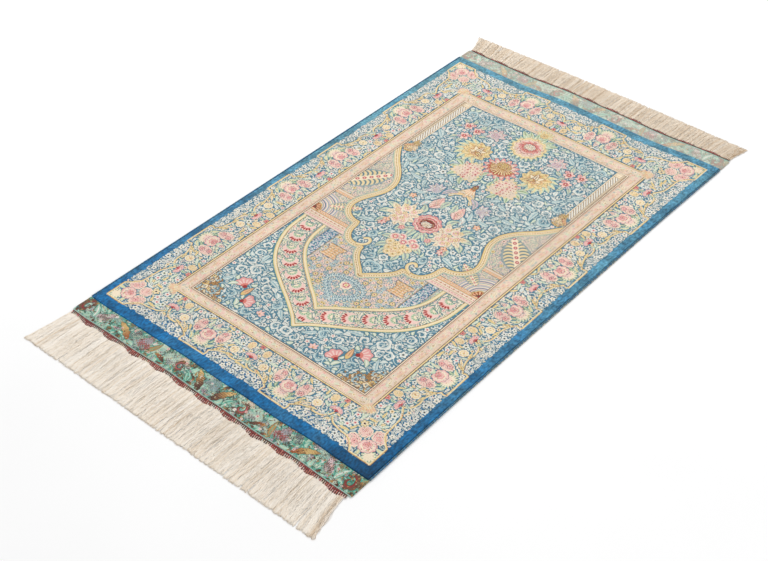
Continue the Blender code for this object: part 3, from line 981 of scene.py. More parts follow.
def draw_guard(chart):
    """The pale band between field and border, with fine lines at its edges and small faint flowers."""
    guard = chart.box(0, GUARD_U, GUARD_FRONT, GUARD_BACK) & ~chart.box(0, FIELD_U, FIELD_FRONT, FIELD_BACK)
    chart.fill(guard, PEACH)
    for out, width, silk in ((0.0, 0.9, BROWN), (1.0, 2.0, CREAM), (3.0, 0.9, BROWN), (5.2, 0.7, ORANGE)):
        frame_line(chart, (FIELD_U + out, FIELD_FRONT - out, FIELD_BACK + out), width, silk)
    outer_lines = ((-1.0, 1.0, BROWN), (-3.4, 2.4, STRAW), (-4.3, 0.9, BROWN), (-6.6, 0.7, APRICOT))
    for out, width, silk in outer_lines:
        frame_line(chart, (GUARD_U + out, GUARD_FRONT - out, GUARD_BACK + out), width, silk)
    bloom, green, pale = ruffled(BLUSH, SAND, CREAM, PINK), leaf(MINT, CREAM), leaf(CREAM, SAND)
    star, patch = blossom(OCHRE, 5, CREAM, STRAW), mottled(CREAM, PINK, SAND, APRICOT)
    middle, repeat = FIELD_U + 15, 27.0
    for y in np.arange(GUARD_FRONT + 26, GUARD_BACK - 20, repeat):
        for motif, away, size in ((bloom, 0, 5), (green, 9, 5.5), (pale, -9, 5.5), (star, 13.5, 3.4)):
            chart.stamp(motif, middle, y + away, size, math.pi / 2 + 0.3)
    for y in np.arange(GUARD_FRONT + 39.5, GUARD_BACK - 20, 2 * repeat):
        chart.stamp(patch, middle, y, (13, 6), math.pi / 2)
    end_group = ((patch, 13.5, (10, 6), 0.0), (bloom, 0, 5, 0.0), (green, 9, 5.5, 0.3), (star, 15, 3.4, 0.0),
                 (pale, 20, 4.5, -0.3))
    for u in np.arange(0, FIELD_U, repeat):
        for y in (FIELD_FRONT - 13, FIELD_BACK + 16):
            for motif, away, size, turn in end_group:
                chart.stamp(motif, u + away, y, size, turn)
    for *spot, turn in round_place(0, FIELD_BACK + 2, 11, 10, (-1.2, -0.8, -0.4, 0.0, 0.4, 0.8, 1.2)):
        chart.stamp(leaf(STRAW, MINT, 0.1, 0.4), *spot, 9, turn, rim=OCHRE)
    chart.stamp(mottled(GOLD, STRAW, BROWN, CREAM, OCHRE), 0, FIELD_BACK + 2, (14, 9))
    for y, turn in ((GUARD_BACK - 3, -0.7), (GUARD_FRONT + 3, 0.7)):
        chart.stamp(mottled(STRAW, APRICOT, CREAM, MINT, GOLD, PINK), GUARD_U - 4, y, (17, 12), turn)
    scatter(chart, guard, GUARD_FLOWERS, 22000, 20, 0, PEACH)
    sprinkle(chart, guard & chart.taken, (OCHRE, CREAM, SAND, PINK, BROWN, MIST), 0.012, 21)


# ---------------------------------------------------------------- the main border

BORDER_DEPTH = 70.0  # nominal, from the outer edge in to the guard
HALF_GAP = 90.0  # nominal, from a cluster's middle to the small flower half-way to the next
LONG_GAP = 75.0  # a half gap longer than this has room for all its flowers
END_CLUSTERS_U = 90.0
END_HALF_GAP = 88
SIDE_CLUSTERS_Y = (-257.0, -59.0, 72.0, 258.0)
SIDE_FLOWERS_Y = (-345.0, -158.0, 6.5, 165.0, 345.0)
LACE_DEPTH = 20  # of the scalloped fill along the border's outer edge


class Side:
    """One straight run of the border: s along it, d in from its outer edge."""

    def __init__(self, chart, to_chart, turn, depth):
        self.chart = chart
        self.to_chart = to_chart
        self.turn = turn
        self.scale = depth / BORDER_DEPTH

    def place(self, s, d):
        """The chart's (u, y) at a place on this run."""
        return self.to_chart(s, d * self.scale)

    def put(self, motif, s, d, size, turn=0.0, flip=False, rim=DEEP):
        """Stamps a motif, upright as seen from the border's outer edge."""
        u, y = self.place(s, d)
        self.chart.stamp(motif, u, y, size, self.turn + turn, flip, rim)

    def line(self, points, bands):
        """Paints a line through places on this run."""
        draw_line(self.chart, [self.place(s, d) for s, d in points], bands)


GOLD_LINE = ((-1.8, -1.1, OCHRE), (-1.1, 1.1, STRAW), (1.1, 1.8, CREAM))
LONG_ARC = ((27, 12), (33, 16), (42, 21), (54, 24), (66, 22.5), (78, 24), (86, 30), (90, 38))
# The lines at a corner, each as places measured in from the side's outer edge and from the end's
CORNER_LINES = (
    ((100, 34), (92, 26), (74, 22), (58, 20), (46, 10), (40, 1.5)),
    ((40, 1.5), (1.5, 1.5)),
    ((1.5, 1.5), (1.5, 40)),
    ((1.5, 40), (10, 47), (20, 60), (22, 80), (24, 100), (34, 118)),
)


def draw_cluster(side, s):
    """Three pink blooms over a pale leafy fan, in a straw bracket that touches the outer edge."""
    side.put(spiky(CREAM, MINT, 16), s, 19, (18, 13), rim=LEAF)
    side.put(spiky(BLUSH, CREAM, 11), s, 22, (12, 8), rim=None)
    for away, round_about in ((-1, math.pi), (1, 0)):
        side.put(leaf(MINT, STRAW), s + 21 * away, 19, 8.5, 0.9 * away + round_about, rim=SEA)
        side.put(leaf(LEAF, MINT), s + 17 * away, 27, 6, 1.3 * away + round_about, rim=SEA)
        side.put(acanthus(MINT, CREAM, 3), s + 12 * away, 56, 9, 1.1 * away + round_about, rim=SEA)
        side.put(ruffled(BLUSH, PINK, CREAM, ROSE), s + 25 * away, 43, (10.5, 17), -0.12 * away, rim=SEA)
        side.put(blossom(ROSE, 5, PINK, BLUSH), s + 23 * away, 50, 5)
        side.put(blossom(WINE, 5, PINK, BLUSH), s + 26 * away, 36, 5)
        side.put(blossom(UMBER, 5, WHITE, ICE), s + 37 * away, 56, 4.6)
        side.put(leaf(CREAM, WHITE), s + 38 * away, 45, 6, 1.2 * away + round_about, rim=SEA)
    side.put(rose(BLUSH, CREAM, PINK, ROSE, PINK), s, 35, (15, 13), rim=SEA)
    side.put(ruffled(PINK, ROSE, BLUSH, WINE), s, 39, (8, 6), math.pi, rim=None)
    side.put(bud(CREAM, LILAC, MINT), s, 55, (13, 10), rim=SEA)
    side.put(blossom(ROSE, 5, BLUSH, CREAM), s, 57, 3.6)


def draw_half_gap(side, s, length, away):
    """From a cluster's middle to the small flower half-way to the next, going up (1) or down (-1) in s."""
    def at(x):
        return s + away * x

    is_long = length > LONG_GAP
    reach = length / HALF_GAP if is_long else 1.0
    arc = LONG_ARC if is_long else (*LONG_ARC[:3], (length * 0.8, 24), (length * 0.95, 29), (length, 36))
    side.line([(at(0), 1.4), (at(27), 1.4)], GOLD_LINE)
    side.line([(at(27), 1.4), (at(28.5), 6), (at(27), 12)], GOLD_LINE)
    side.line([(at(x if x < 30 else 30 + (x - 30) * reach), d) for x, d in arc], GOLD_LINE)
    side.put(acanthus(STRAW, OCHRE, 3), at(36), 24, 9, 0.7 * away, away < 0, rim=SEA)
    side.put(acanthus(CREAM, GOLD, 3), at(45), 29, 7.5, 0.3 * away, away < 0, rim=SEA)
    side.put(acanthus(STRAW, GOLD, 3), at(60 * reach), 27, 7.5, -0.2 * away, away < 0, rim=SEA)
    if is_long:
        side.put(rose(CREAM, STRAW, CREAM, GOLD, WHITE), at(58 * reach), 38, 9)
        side.put(ruffled(STRAW, APRICOT, CREAM, OCHRE), at(length - 17), 60, (7.5, 9), rim=SEA)
        side.put(blossom(ROSE, 5, WHITE, BLUSH), at(48 * reach), 62, 5)
    side.put(blossom(OCHRE, 6, CREAM, STRAW), at(length - 9), 50, 4.8)
    side.put(curl(WHITE, ICE), at(length - 16), 35, 6.5, away * 0.4, away < 0)


def draw_gap_flower(side, s):
    """The small pink palmette half-way between two clusters."""
    side.put(fan(BLUSH, PINK, ROSE, LILAC, 1.5, 9), s, 45, (11, 8), rim=SEA)
    side.put(leaf(MINT, LEAF), s, 56, 6, math.pi / 2, rim=SEA)
    side.put(blossom(WINE, 5, CORAL, PINK), s, 67, 5, rim=SAND)
    for away in (-1, 1):
        side.put(leaf(MINT, MIST), s + 5 * away, 32, 6, math.pi / 2 - 0.5 * away, rim=None)


def draw_corner(chart, y_edge, away):
    """A cluster across a corner, and the bracket along both edges. away is 1 at the back, else -1."""
    to_middle = -math.pi / 4 if away > 0 else math.pi / 4 + math.pi

    def put(motif, out, across, size, turn=0.0, rim=DEEP):
        """Places a motif, measured in from the corner along its diagonal, and across it."""
        root = math.sqrt(0.5)
        u, y = BORDER_U - root * (out + across), y_edge - away * root * (out - across)
        chart.stamp(motif, u, y, size, to_middle + turn, rim=rim)

    put(spiky(CREAM, MINT, 12), 17, 0, (12, 12), rim=LEAF)
    for side in (-1, 1):
        put(ruffled(BLUSH, PINK, CREAM, ROSE), 50, 19 * side, (12, 15), rim=SEA)
        put(blossom(WINE, 5, PINK, BLUSH), 48, 18 * side, 5, rim=None)
        put(leaf(MINT, STRAW), 26, 17 * side, 8, 0.8 * side, rim=SEA)
    put(ruffled(BLUSH, PINK, CREAM, ROSE), 64, 0, (12, 12), rim=SEA)
    put(rose(BLUSH, CREAM, PINK, ROSE, PINK), 36, 0, (15, 13), rim=SEA)
    put(ruffled(PINK, ROSE, BLUSH, WINE), 40, 0, (8, 6), math.pi, rim=None)
    put(blossom(UMBER, 6, STRAW, CREAM), 80, 0, 7, rim=SEA)
    for places in CORNER_LINES:
        draw_line(chart, [(BORDER_U - out, y_edge - away * deep) for out, deep in places], GOLD_LINE)


def draw_border(chart):
    """Clusters between gold lines on all sides, with a scalloped lace fill outside and leaves inside them."""
    border = chart.box(0, BORDER_U, BORDER_FRONT, BORDER_BACK)
    border &= ~chart.box(0, GUARD_U, GUARD_FRONT, GUARD_BACK)
    chart.fill(border, SLATE)
    front = Side(chart, lambda s, d: (s, BORDER_FRONT + d), 0.0, GUARD_FRONT - BORDER_FRONT)
    back = Side(chart, lambda s, d: (s, BORDER_BACK - d), math.pi, BORDER_BACK - GUARD_BACK)
    flank = Side(chart, lambda s, d: (BORDER_U - d, s), math.pi / 2, BORDER_U - GUARD_U)
    for side in (front, back):
        draw_half_gap(side, END_CLUSTERS_U, END_CLUSTERS_U, -1)
        draw_half_gap(side, END_CLUSTERS_U, END_HALF_GAP, 1)
        draw_cluster(side, END_CLUSTERS_U)
        draw_gap_flower(side, 0)
        draw_gap_flower(side, END_CLUSTERS_U + END_HALF_GAP)
    for y, low, high in zip(SIDE_CLUSTERS_Y, SIDE_FLOWERS_Y, SIDE_FLOWERS_Y[1:]):
        draw_half_gap(flank, y, y - low, -1)
        draw_half_gap(flank, y, high - y, 1)
        draw_cluster(flank, y)
    for y in SIDE_FLOWERS_Y:
        draw_gap_flower(flank, y)
    for y_edge, away in ((BORDER_FRONT, -1), (BORDER_BACK, 1)):
        draw_corner(chart, y_edge, away)
    inner = chart.box(0, BORDER_U - LACE_DEPTH, BORDER_FRONT + LACE_DEPTH + 2, BORDER_BACK - LACE_DEPTH - 2)
    lace = border & ~inner
    chart.fill(lace & ~chart.taken, BAND)
    sprinkle(chart, border & chart.taken, (BROWN, CREAM, CREAM, WHITE, ROSE, OCHRE, SEA, DEEP), 0.022, 8)
    overgrow(chart, lace, LACE, 120, 0, DEEP)
    overgrow(chart, border, BORDER_FILL, 130, 0, SEA)


def draw_pile():
    """The chart of the pile's right half: lines and large motifs first, then what fills the rest."""
    chart = Chart(COLUMN_U_CELLS, ROW_Y, BAND)
    draw_border(chart)
    field = draw_upper_field(chart)
    draw_spandrel(chart)
    draw_column(chart)
    draw_room(chart)
    draw_ogee(chart)
    draw_niche(chart)
    draw_lower_field(chart)
    draw_guard(chart)
    draw_bouquets(chart)
    scatter(chart, field, FIELD_CURLS, 900, 4, 2, DEEP)
    scrolls(chart, field, 44, 20, 5, FIELD_SCROLLS)
    overgrow(chart, field, VINES, 1, 1, DEEP)
    return chart


# ---------------------------------------------------------------- the flat-woven ends

KILIM_DEPTH = 36  # nominal, in mm like all charts
KILIM_REACH = 298  # small pieces have their places up to here on both sides
KILIM_SHIFT = 2.0  # of the band's axis to the left
MOTIF_GROWTH = 1.12  # from the sizes in the table below
CLOUDS, FLORETS, SPECKS = 70, 40, 700  # how many of them in each band

# Half of the repeat, which is mirrored: distance from the axis, height in the band, motif, size, turn and rim
KILIM_HALF = (
    (0, 24, mottled(MIST, SEA, PALE_JADE, UMBER, MIST), (14, 12), 0.0, None),
    (26, 17, shaded_leaf(UMBER, BROWN, OCHRE, GOLD), (20, 13), 0.75, UMBER),
    (45, 12, leaf(PALE_JADE, TURQUOISE), (10, 9), 0.9, JADE),
    (71, 30, mottled(SAND, BLUSH, MINT, BROWN), (13, 7), 0.2, None),
    (67, 16, curl(BROWN, ROSE, 1.0, 0.26), (12, 12), 0.4, UMBER),
    (92, 22, mottled(MINT, PALE_JADE, MIST, BROWN, ICE), (15, 14), 0.5, None),
    (107, 10, shaded_leaf(UMBER, BROWN, RUST, OCHRE), (12, 8), 0.3, None),
    (118, 29, mottled(MINT, ICE, PALE_JADE), (10, 8), 0.0, None),
    (129, 19, leaf(OCHRE, LEAF), (14, 9), 1.9, UMBER),
    (148, 20, mottled(BROWN, LILAC, MIST, UMBER, ROSE), (15, 16), 0.3, None),
    (171, 25, mottled(SEA, UMBER, MIST, JADE, MINT), (13, 11), 0.0, None),
    (196, 17, shaded_leaf(RUST, OCHRE, GOLD, OCHRE), (20, 11), 0.55, UMBER),
    (222, 27, mottled(SEA, MINT, UMBER, PALE_JADE), (11, 9), 0.8, None),
    (241, 19, mottled(BROWN, LILAC, BLUSH, MIST, BROWN), (9, 18), 0.7, None),
    (263, 21, leaf(PALE_JADE, WHITE), (13, 10), 1.1, JADE),
    (282, 18, curl(BROWN, WINE, 1.0, 0.26), (13, 17), 0.2, UMBER),
    (298, 24, mottled(OCHRE, LEAF, BROWN, UMBER), (8, 12), 0.0, None),
)
KILIM_CLOUDS = (
    mottled(JADE, TURQUOISE, SEA), mottled(MIST, TURQUOISE, MINT), mottled(PINE, UMBER, TURQUOISE, SEA),
    mottled(PALE_JADE, TURQUOISE, MINT), mottled(MIST, BROWN, SAND, SEA),
)
KILIM_FLORETS = (blossom(PINK, 5, WHITE, BLUSH), blossom(UMBER, 5, MINT, ICE), blossom(WINE, 5, BLUSH, PINK))
KILIM_SPECKS = (UMBER, BROWN, UMBER, PALE_JADE, MINT, OCHRE, BROWN, PINE, OCHRE, LEAF)
KILIM_FLECKS = (
    (18, ((mottled(PALE_JADE, MINT, WHITE, JADE), 6.0, 10.0), (mottled(LEAF, UMBER, OCHRE, BROWN), 6.0, 9.0),
          (mottled(LILAC, BROWN, MIST, UMBER), 6.0, 10.0), (shaded_leaf(UMBER, BROWN, OCHRE), 6.0, 9.0),
          (mottled(UMBER, PINE, OCHRE, UMBER), 6.0, 9.0), (leaf(PALE_JADE, MINT, 0.4, 0.4), 6.0, 9.0))),
    (16, ((leaf(MINT, ICE), 2.6, 4.4), (leaf(UMBER, BROWN), 2.4, 3.8), (leaf(OCHRE, BROWN), 2.4, 3.8),
          (leaf(PALE_JADE, WHITE), 2.4, 4.0), (leaf(JADE, PINE), 2.4, 3.8), (leaf(LILAC, BROWN), 2.4, 3.8))),
    (12, ((leaf(UMBER, UMBER), 1.2, 2.0), (leaf(PALE_JADE, MINT), 1.4, 2.4), (leaf(MIST, SEA), 1.4, 2.4))),
)


def draw_kilim(end, face_rows):
    """A flat-woven band of mottled leaves and curls on turquoise, as a chart whose rows run along +y."""
    columns = np.arange(KILIM_COLUMNS * KNOTS_PER_FACE) * KNOT + KNOT / 2 - KILIM_COLUMNS * FACE_SIZE * 500
    rows = np.arange(face_rows * KNOTS_PER_FACE) * KNOT + KNOT / 2
    chart = Chart(columns, rows, TURQUOISE)
    draws = random.Random(31 + end.side)
    for number in range(CLOUDS):
        size = draws.uniform(9, 17), draws.uniform(6, 11)
        place = draws.uniform(-KILIM_REACH, KILIM_REACH), draws.uniform(2, rows[-1] - 2)
        chart.stamp(KILIM_CLOUDS[number % len(KILIM_CLOUDS)], *place, size, draws.uniform(0, math.pi))
    chart.taken[:] = False
    for u, y, motif, size, turn, rim in KILIM_HALF:
        for side in (-1, 1) if u else (1,):
            own_x = side * (u + draws.uniform(-1.5, 1.5)) - KILIM_SHIFT
            own_y = y * rows[-1] / KILIM_DEPTH + draws.uniform(-1.5, 1.5)
            own_turn = side * (turn + draws.uniform(-0.15, 0.15))
            grown = MOTIF_GROWTH * size[0], MOTIF_GROWTH * size[1]
            chart.stamp(motif, own_x, own_y, grown, own_turn, side < 0, rim=rim)
    overgrow(chart, np.ones(chart.silk.shape, bool), KILIM_FLECKS, 61 + end.side, 0)
    for number in range(FLORETS):
        place = draws.uniform(-KILIM_REACH, KILIM_REACH), draws.uniform(2, rows[-1] - 2)
        chart.stamp(KILIM_FLORETS[number % len(KILIM_FLORETS)], *place, draws.uniform(2.0, 3.2))
    for number in range(SPECKS):
        silk = KILIM_SPECKS[number % len(KILIM_SPECKS)]
        place = draws.uniform(-KILIM_REACH - 1, KILIM_REACH + 1), draws.uniform(1, rows[-1])
        chart.stamp(leaf(silk, silk), *place, draws.uniform(0.9, 2.1), draws.uniform(0, math.pi))
    return chart.silk


# ---------------------------------------------------------------- the rug's plan

# The sizes of the CAD source, but for the front's edging and scallops and for the fringes' tips, which are
# the looks' own.
RUG_HALF_WIDTH = 0.300
PILE_HALF_LENGTH = 0.485
PILE_TOP = 0.0035
KILIM_TOP = 0.0018
SELVEDGE_RADIUS = 0.0015
TWINING_RADIUS = 0.0009
GAP = 0.0003

Wave = namedtuple("Wave", "height length crest_x")
End = namedtuple(
    "End",
    "name side kilim_depth edging_depth scallop_depth scallop_pitch crest_x"
    " fringe_tip left_flare right_flare short_of_right bow waves",
)
# side is -1 at the front end and +1 at the back. Depths run outwards from the pile. crest_x is where one
# scallop has its tip, and fringe_tip is |y| of the threads' ends. A flare is how far the outermost thread
# leans out, short_of_right how far short of that side the stitches and threads stop, and bow how much
# shorter the outermost threads are. Waves make the end's uneven line.
FRONT = End("front", -1, 0.037, 0.0054, 0.0042, 0.0526, 0.007,
            0.6195, 0.005, 0.018, 0.005, 0.0,
            (Wave(0.0010, 0.290, 0.060), Wave(0.0006, 0.130, -0.010)))
BACK = End("back", 1, 0.030, 0.0026, 0.0034, 0.0535, -0.009,
           0.5795, 0.012, 0.010, 0.0, 0.004,
           (Wave(0.0026, 0.330, -0.020), Wave(0.0008, 0.150, 0.090)))


def ripple(end, x):
    """How far the end's uneven line lies outside the straight one."""
    return sum(w.height * np.cos(2 * np.pi * (x - w.crest_x) / w.length) for w in end.waves)


def kilim_end(end, x):
    """|y| of the flat-woven band's outer edge."""
    return PILE_HALF_LENGTH + ripple(end, x) + GAP + end.kilim_depth


def edging_start(end, x):
    """|y| of the edging's inner edge, beyond the twining cord."""
    return kilim_end(end, x) + 2 * GAP + 2 * TWINING_RADIUS


def scallop(end, x):
    """From 0 between two scallops to 1 at a scallop's tip."""
    return (0.5 + 0.5 * np.cos(2 * np.pi * (x - end.crest_x) / end.scallop_pitch)) ** 1.5


def edging_end(end, x):
    """|y| of the edging's scalloped outer edge."""
    return edging_start(end, x) + end.edging_depth + end.scallop_depth * scallop(end, x)


# ---------------------------------------------------------------- meshes


def relaxed(points):
    """The points as the cloth lies: its sides have crept outwards towards the corners."""
    x, y = points[:, 0] / RUG_HALF_WIDTH, (points[:, 1] / PILE_HALF_LENGTH).clip(-1, 1)
    side = np.where(x > 0, 0.0008 + 0.0045 * y**2, 0.0010 - 0.0012 * y)
    front_right = (x - 0.1).clip(0, 1) * (-y).clip(0, 1) ** 2
    front_right *= 1 - ((-points[:, 1] - 0.535) / 0.085).clip(0, 1)  # less towards the fringe's tips
    return points + np.stack([side * x, -0.0050 * front_right, np.zeros(len(points))], axis=-1)


def build_piece(name, points, face_sets, material):
    """One object from points and arrays of faces, each array with its own number of corners."""
    points = relaxed(np.asarray(points, float))
    mesh = bpy.data.meshes.new(name)
    mesh.vertices.add(len(points))
    mesh.vertices.foreach_set("co", np.ascontiguousarray(points, np.float32).ravel())
    corners = np.concatenate([faces.ravel() for faces in face_sets])
    counts = np.concatenate([np.full(len(faces), faces.shape[1]) for faces in face_sets])
    mesh.loops.add(len(corners))
    mesh.loops.foreach_set("vertex_index", corners.astype(np.int32))
    mesh.polygons.add(len(counts))
    mesh.polygons.foreach_set("loop_start", np.concatenate([[0], np.cumsum(counts)[:-1]]).astype(np.int32))
    mesh.update(calc_edges=True)
    mesh.validate()
    mesh.materials.append(material)
    piece = bpy.data.objects.new(name, mesh)
    bpy.context.scene.collection.objects.link(piece)
    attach(piece, "root")
    return piece


def face_numbers(piece, name, values):
    """Gives the piece an attribute with a number for each face."""
    attribute = piece.data.attributes.new(name, "FLOAT", "FACE")
    attribute.data.foreach_set("value", np.asarray(values, np.float32))


def corner_map(piece, name, places):
    """Gives the piece a UV map with a place for each face's corner."""
    layer = piece.data.uv_layers.new(name=name)
    layer.data.foreach_set("uv", np.ascontiguousarray(places, np.float32).ravel())


def tubes(paths, radii, sides):
    """Tubes round many paths of equal point counts: their points, the quads round them and their two ends."""
    ahead = np.gradient(paths, axis=1)
    ahead /= np.linalg.norm(ahead, axis=2, keepdims=True)
    across = np.cross(ahead, (0.0, 0.0, 1.0))
    across /= np.linalg.norm(across, axis=2, keepdims=True)
    above = np.cross(across, ahead)
    angle = 2 * np.pi * np.arange(sides) / sides + np.pi / 2
    ring = np.cos(angle)[:, None] * across[:, :, None] + np.sin(angle)[:, None] * above[:, :, None]
    points = paths[:, :, None] + radii[:, :, None, None] * ring
    index = np.arange(points.size // 3).reshape(points.shape[:3])
    near, far = index[:, :-1], index[:, 1:]
    quads = np.stack([near, far, np.roll(far, -1, axis=2), np.roll(near, -1, axis=2)], axis=-1)
    return points.reshape(-1, 3), quads.reshape(-1, 4), index[:, 0], index[:, -1, ::-1]


def cell_map(piece, tube_count, rings, sides):
    """A UV map with a small upright cell for each tube, so that a bake keeps every thread's colour."""
    across = math.ceil(math.sqrt(tube_count))
    cell = np.arange(tube_count)
    left, low = (cell % across) / across, (cell // across) / across
    along = np.arange(rings) / (rings - 1)
    around = np.arange(sides + 1) / sides
    corners = np.array([(0, 0), (1, 0), (1, 1), (0, 1)])
    ring_at = np.arange(rings - 1)[:, None, None] + corners[:, 0]
    side_at = np.arange(sides)[None, :, None] + corners[:, 1]
    u, v = np.broadcast_arrays(0.15 + 0.7 * around[side_at], 0.15 + 0.7 * along[ring_at])
    u = left[:, None, None, None] + u / across
    v = low[:, None, None, None] + v / across
    quads = np.stack([u, v], axis=-1).reshape(-1, 2)
    spots = np.stack([left + 0.5 / across, low + 0.5 / across], axis=-1)
    starts = np.repeat(spots - [0, 0.33 / across], sides, axis=0)
    ends = np.repeat(spots + [0, 0.33 / across], sides, axis=0)
    corner_map(piece, "OFBake", np.concatenate([quads, starts, ends]))


# ---------------------------------------------------------------- knotted and woven sheets

KNOTS_PER_FACE = 4  # each way: a face's colour attribute has a number for each row of four knots
SILK_BASE = len(SILKS)
FACE_SIZE = KNOTS_PER_FACE * KNOT / 1000
DESIGN_AXIS_X = -0.0012  # the design lies a little to the left of the rug's middle


def packed_knots(silk):
    """For each face its four rows of four silk numbers, every row as one number to the base of SILK_BASE."""
    rows, columns = silk.shape[0] // KNOTS_PER_FACE, silk.shape[1] // KNOTS_PER_FACE
    blocks = silk.reshape(rows, KNOTS_PER_FACE, columns, KNOTS_PER_FACE).astype(np.int64)
    places = SILK_BASE ** np.arange(KNOTS_PER_FACE)
    return np.einsum("rkcj,j->rck", blocks, places).reshape(-1, KNOTS_PER_FACE)


def knotted_sheet(name, x, y, z, silk, bottom, outward, rim, material):
    """A closed slab with a knot chart on top.

    x, y and z are grids of the top's points, and outward those of the directions in which its outer edges
    are rounded. rim is a list of (out, down) steps from the top's edge to the foot of its side.
    """
    rows, columns = x.shape
    index = np.arange(rows * columns).reshape(rows, columns)
    top = np.stack([index[:-1, :-1], index[:-1, 1:], index[1:, 1:], index[1:, :-1]], axis=-1).reshape(-1, 4)
    edge = np.concatenate([index[0, :-1], index[:-1, -1], index[-1, :0:-1], index[:0:-1, 0]])
    face_at = np.arange((rows - 1) * (columns - 1)).reshape(rows - 1, columns - 1)
    face_beside = np.concatenate([face_at[0], face_at[:, -1], face_at[-1, ::-1], face_at[::-1, 0]])
    points = [np.stack([x, y, z], axis=-1).reshape(-1, 3)]
    upper, sides = edge, []
    for out, down in rim:
        ring = points[0][edge].copy()
        ring[:, :2] += out * outward.reshape(-1, 2)[edge]
        ring[:, 2] = bottom if down is None else ring[:, 2] - down
        lower = sum(len(p) for p in points) + np.arange(len(edge))
        points.append(ring)
        sides.append(np.stack([upper, lower, np.roll(lower, -1), np.roll(upper, -1)], axis=-1))
        upper = lower
    piece = build_piece(name, np.concatenate(points), [top, *sides, upper[None, ::-1]], material)
    sides_of_edges = np.empty(2 * len(piece.data.edges), np.int32)
    piece.data.edges.foreach_get("vertices", sides_of_edges)
    sharp = piece.data.attributes.new("sharp_edge", "BOOLEAN", "EDGE")
    sharp.data.foreach_set("value", np.isin(sides_of_edges.reshape(-1, 2), edge).all(axis=1))
    knots = packed_knots(silk)
    all_knots = np.concatenate([knots, *[knots[face_beside]] * len(rim), knots[:1]])
    opaque = piece.data.attributes.new("knots", "FLOAT_COLOR", "FACE")
    opaque.data.foreach_set("color", all_knots.astype(np.float32).ravel())
    square = np.array([(0, 0), (1, 0), (1, 1), (0, 1)], float)
    side_square = np.array([(0.02, 0.5), (0.02, 0.5), (0.98, 0.5), (0.98, 0.5)])
    places = [np.tile(square, (len(top), 1)), np.tile(side_square, (len(edge) * len(rim), 1))]
    corner_map(piece, "knot_squares", np.concatenate([*places, np.full((len(edge), 2), 0.5)]))
    return piece


# ---------------------------------------------------------------- materials


def linear(channel):
    """One sRGB channel, from 0 to 255, as linear light from 0 to 1."""
    share = channel / 255
    return share / 12.92 if share <= 0.04045 else ((share + 0.055) / 1.055) ** 2.4


def rgba(colour):
    """An sRGB colour as a material takes it."""
    return (*(linear(channel) for channel in colour), 1.0)


class Nodes:
    """A short way to write a material's nodes."""

    def __init__(self, name, roughness, sheen, sheen_roughness=0.4, specular=0.3):
        self.material = bpy.data.materials.new(name)
        self.material.use_nodes = True
        self.tree = self.material.node_tree
        self.shader = self.tree.nodes["Principled BSDF"]
        self.shader.inputs["Roughness"].default_value = roughness
        self.shader.inputs["Sheen Weight"].default_value = sheen
        self.shader.inputs["Sheen Roughness"].default_value = sheen_roughness
        self.shader.inputs["Specular IOR Level"].default_value = specular

    def add(self, kind, inputs=(), output=0, **settings):
        """Adds a node, sets or links its inputs by number or name, and returns one of its outputs."""
        node = self.tree.nodes.new(kind)
        for setting, value in settings.items():
            setattr(node, setting, value)
        for socket, value in dict(inputs).items():
            if isinstance(value, bpy.types.NodeSocket):
                self.tree.links.new(value, node.inputs[socket])
            else:
                node.inputs[socket].default_value = value
        return node.outputs[output]

    def math(self, operation, first, second=0.0, third=0.0):
        """One step of arithmetic."""
        return self.add("ShaderNodeMath", {0: first, 1: second, 2: third}, operation=operation)

    def mix(self, share, first, second):
        """A colour between two others."""
        return self.add("ShaderNodeMix", {0: share, 6: first, 7: second}, 2, data_type="RGBA")

    def spread(self, value, low, high, new_low, new_high):
        """Maps a value from one range to another, without leaving it."""
        return self.add("ShaderNodeMapRange", {0: value, 1: low, 2: high, 3: new_low, 4: new_high})

    def place(self, stretch=(1, 1, 1)):
        """The place on the rug in metres, stretched."""
        place = self.add("ShaderNodeTexCoord", output="Object")
        return self.add("ShaderNodeMapping", {"Vector": place, "Scale": stretch})

    def noise(self, scale, stretch=(1, 1, 1), detail=2.0):
        """Soft noise over the rug, stretched, with values round 0.5."""
        inputs = {"Vector": self.place(stretch), "Scale": scale, "Detail": detail}
        return self.add("ShaderNodeTexNoise", inputs)

    def silk_colour(self, number):
        """The colour of a silk number."""
        share = self.math("DIVIDE", self.math("ADD", number, 0.5), SILK_BASE)
        ramp = self.add("ShaderNodeValToRGB", {0: share})
        stops = ramp.node.color_ramp
        stops.interpolation = "CONSTANT"
        while len(stops.elements) < SILK_BASE:
            stops.elements.new(0.99)
        for silk in SILKS:
            stops.elements[silk].position = silk / SILK_BASE
            stops.elements[silk].color = rgba(SILK_COLOURS[silk])
        return ramp

    def attribute(self, name, output):
        """An output, by its name, of an attribute of the mesh."""
        return self.add("ShaderNodeAttribute", output=output, attribute_name=name)

    def parts(self, kind, vector):
        """The outputs of a node that splits a vector or a colour."""
        return self.add(kind, {0: vector}).node.outputs

    def shade(self, colour, amount):
        """The colour, made darker or lighter by a factor."""
        return self.add("ShaderNodeVectorMath", {0: colour, "Scale": amount}, operation="SCALE")

    def finish(self, colour, height=None, depth=0.0002):
        """Links the colour, and a bump where given, and returns the material."""
        self.tree.links.new(colour, self.shader.inputs["Base Color"])
        if height is not None:
            bump = self.add("ShaderNodeBump", {"Height": height, "Distance": depth, "Strength": 0.6})
            self.tree.links.new(bump, self.shader.inputs["Normal"])
        return self.material


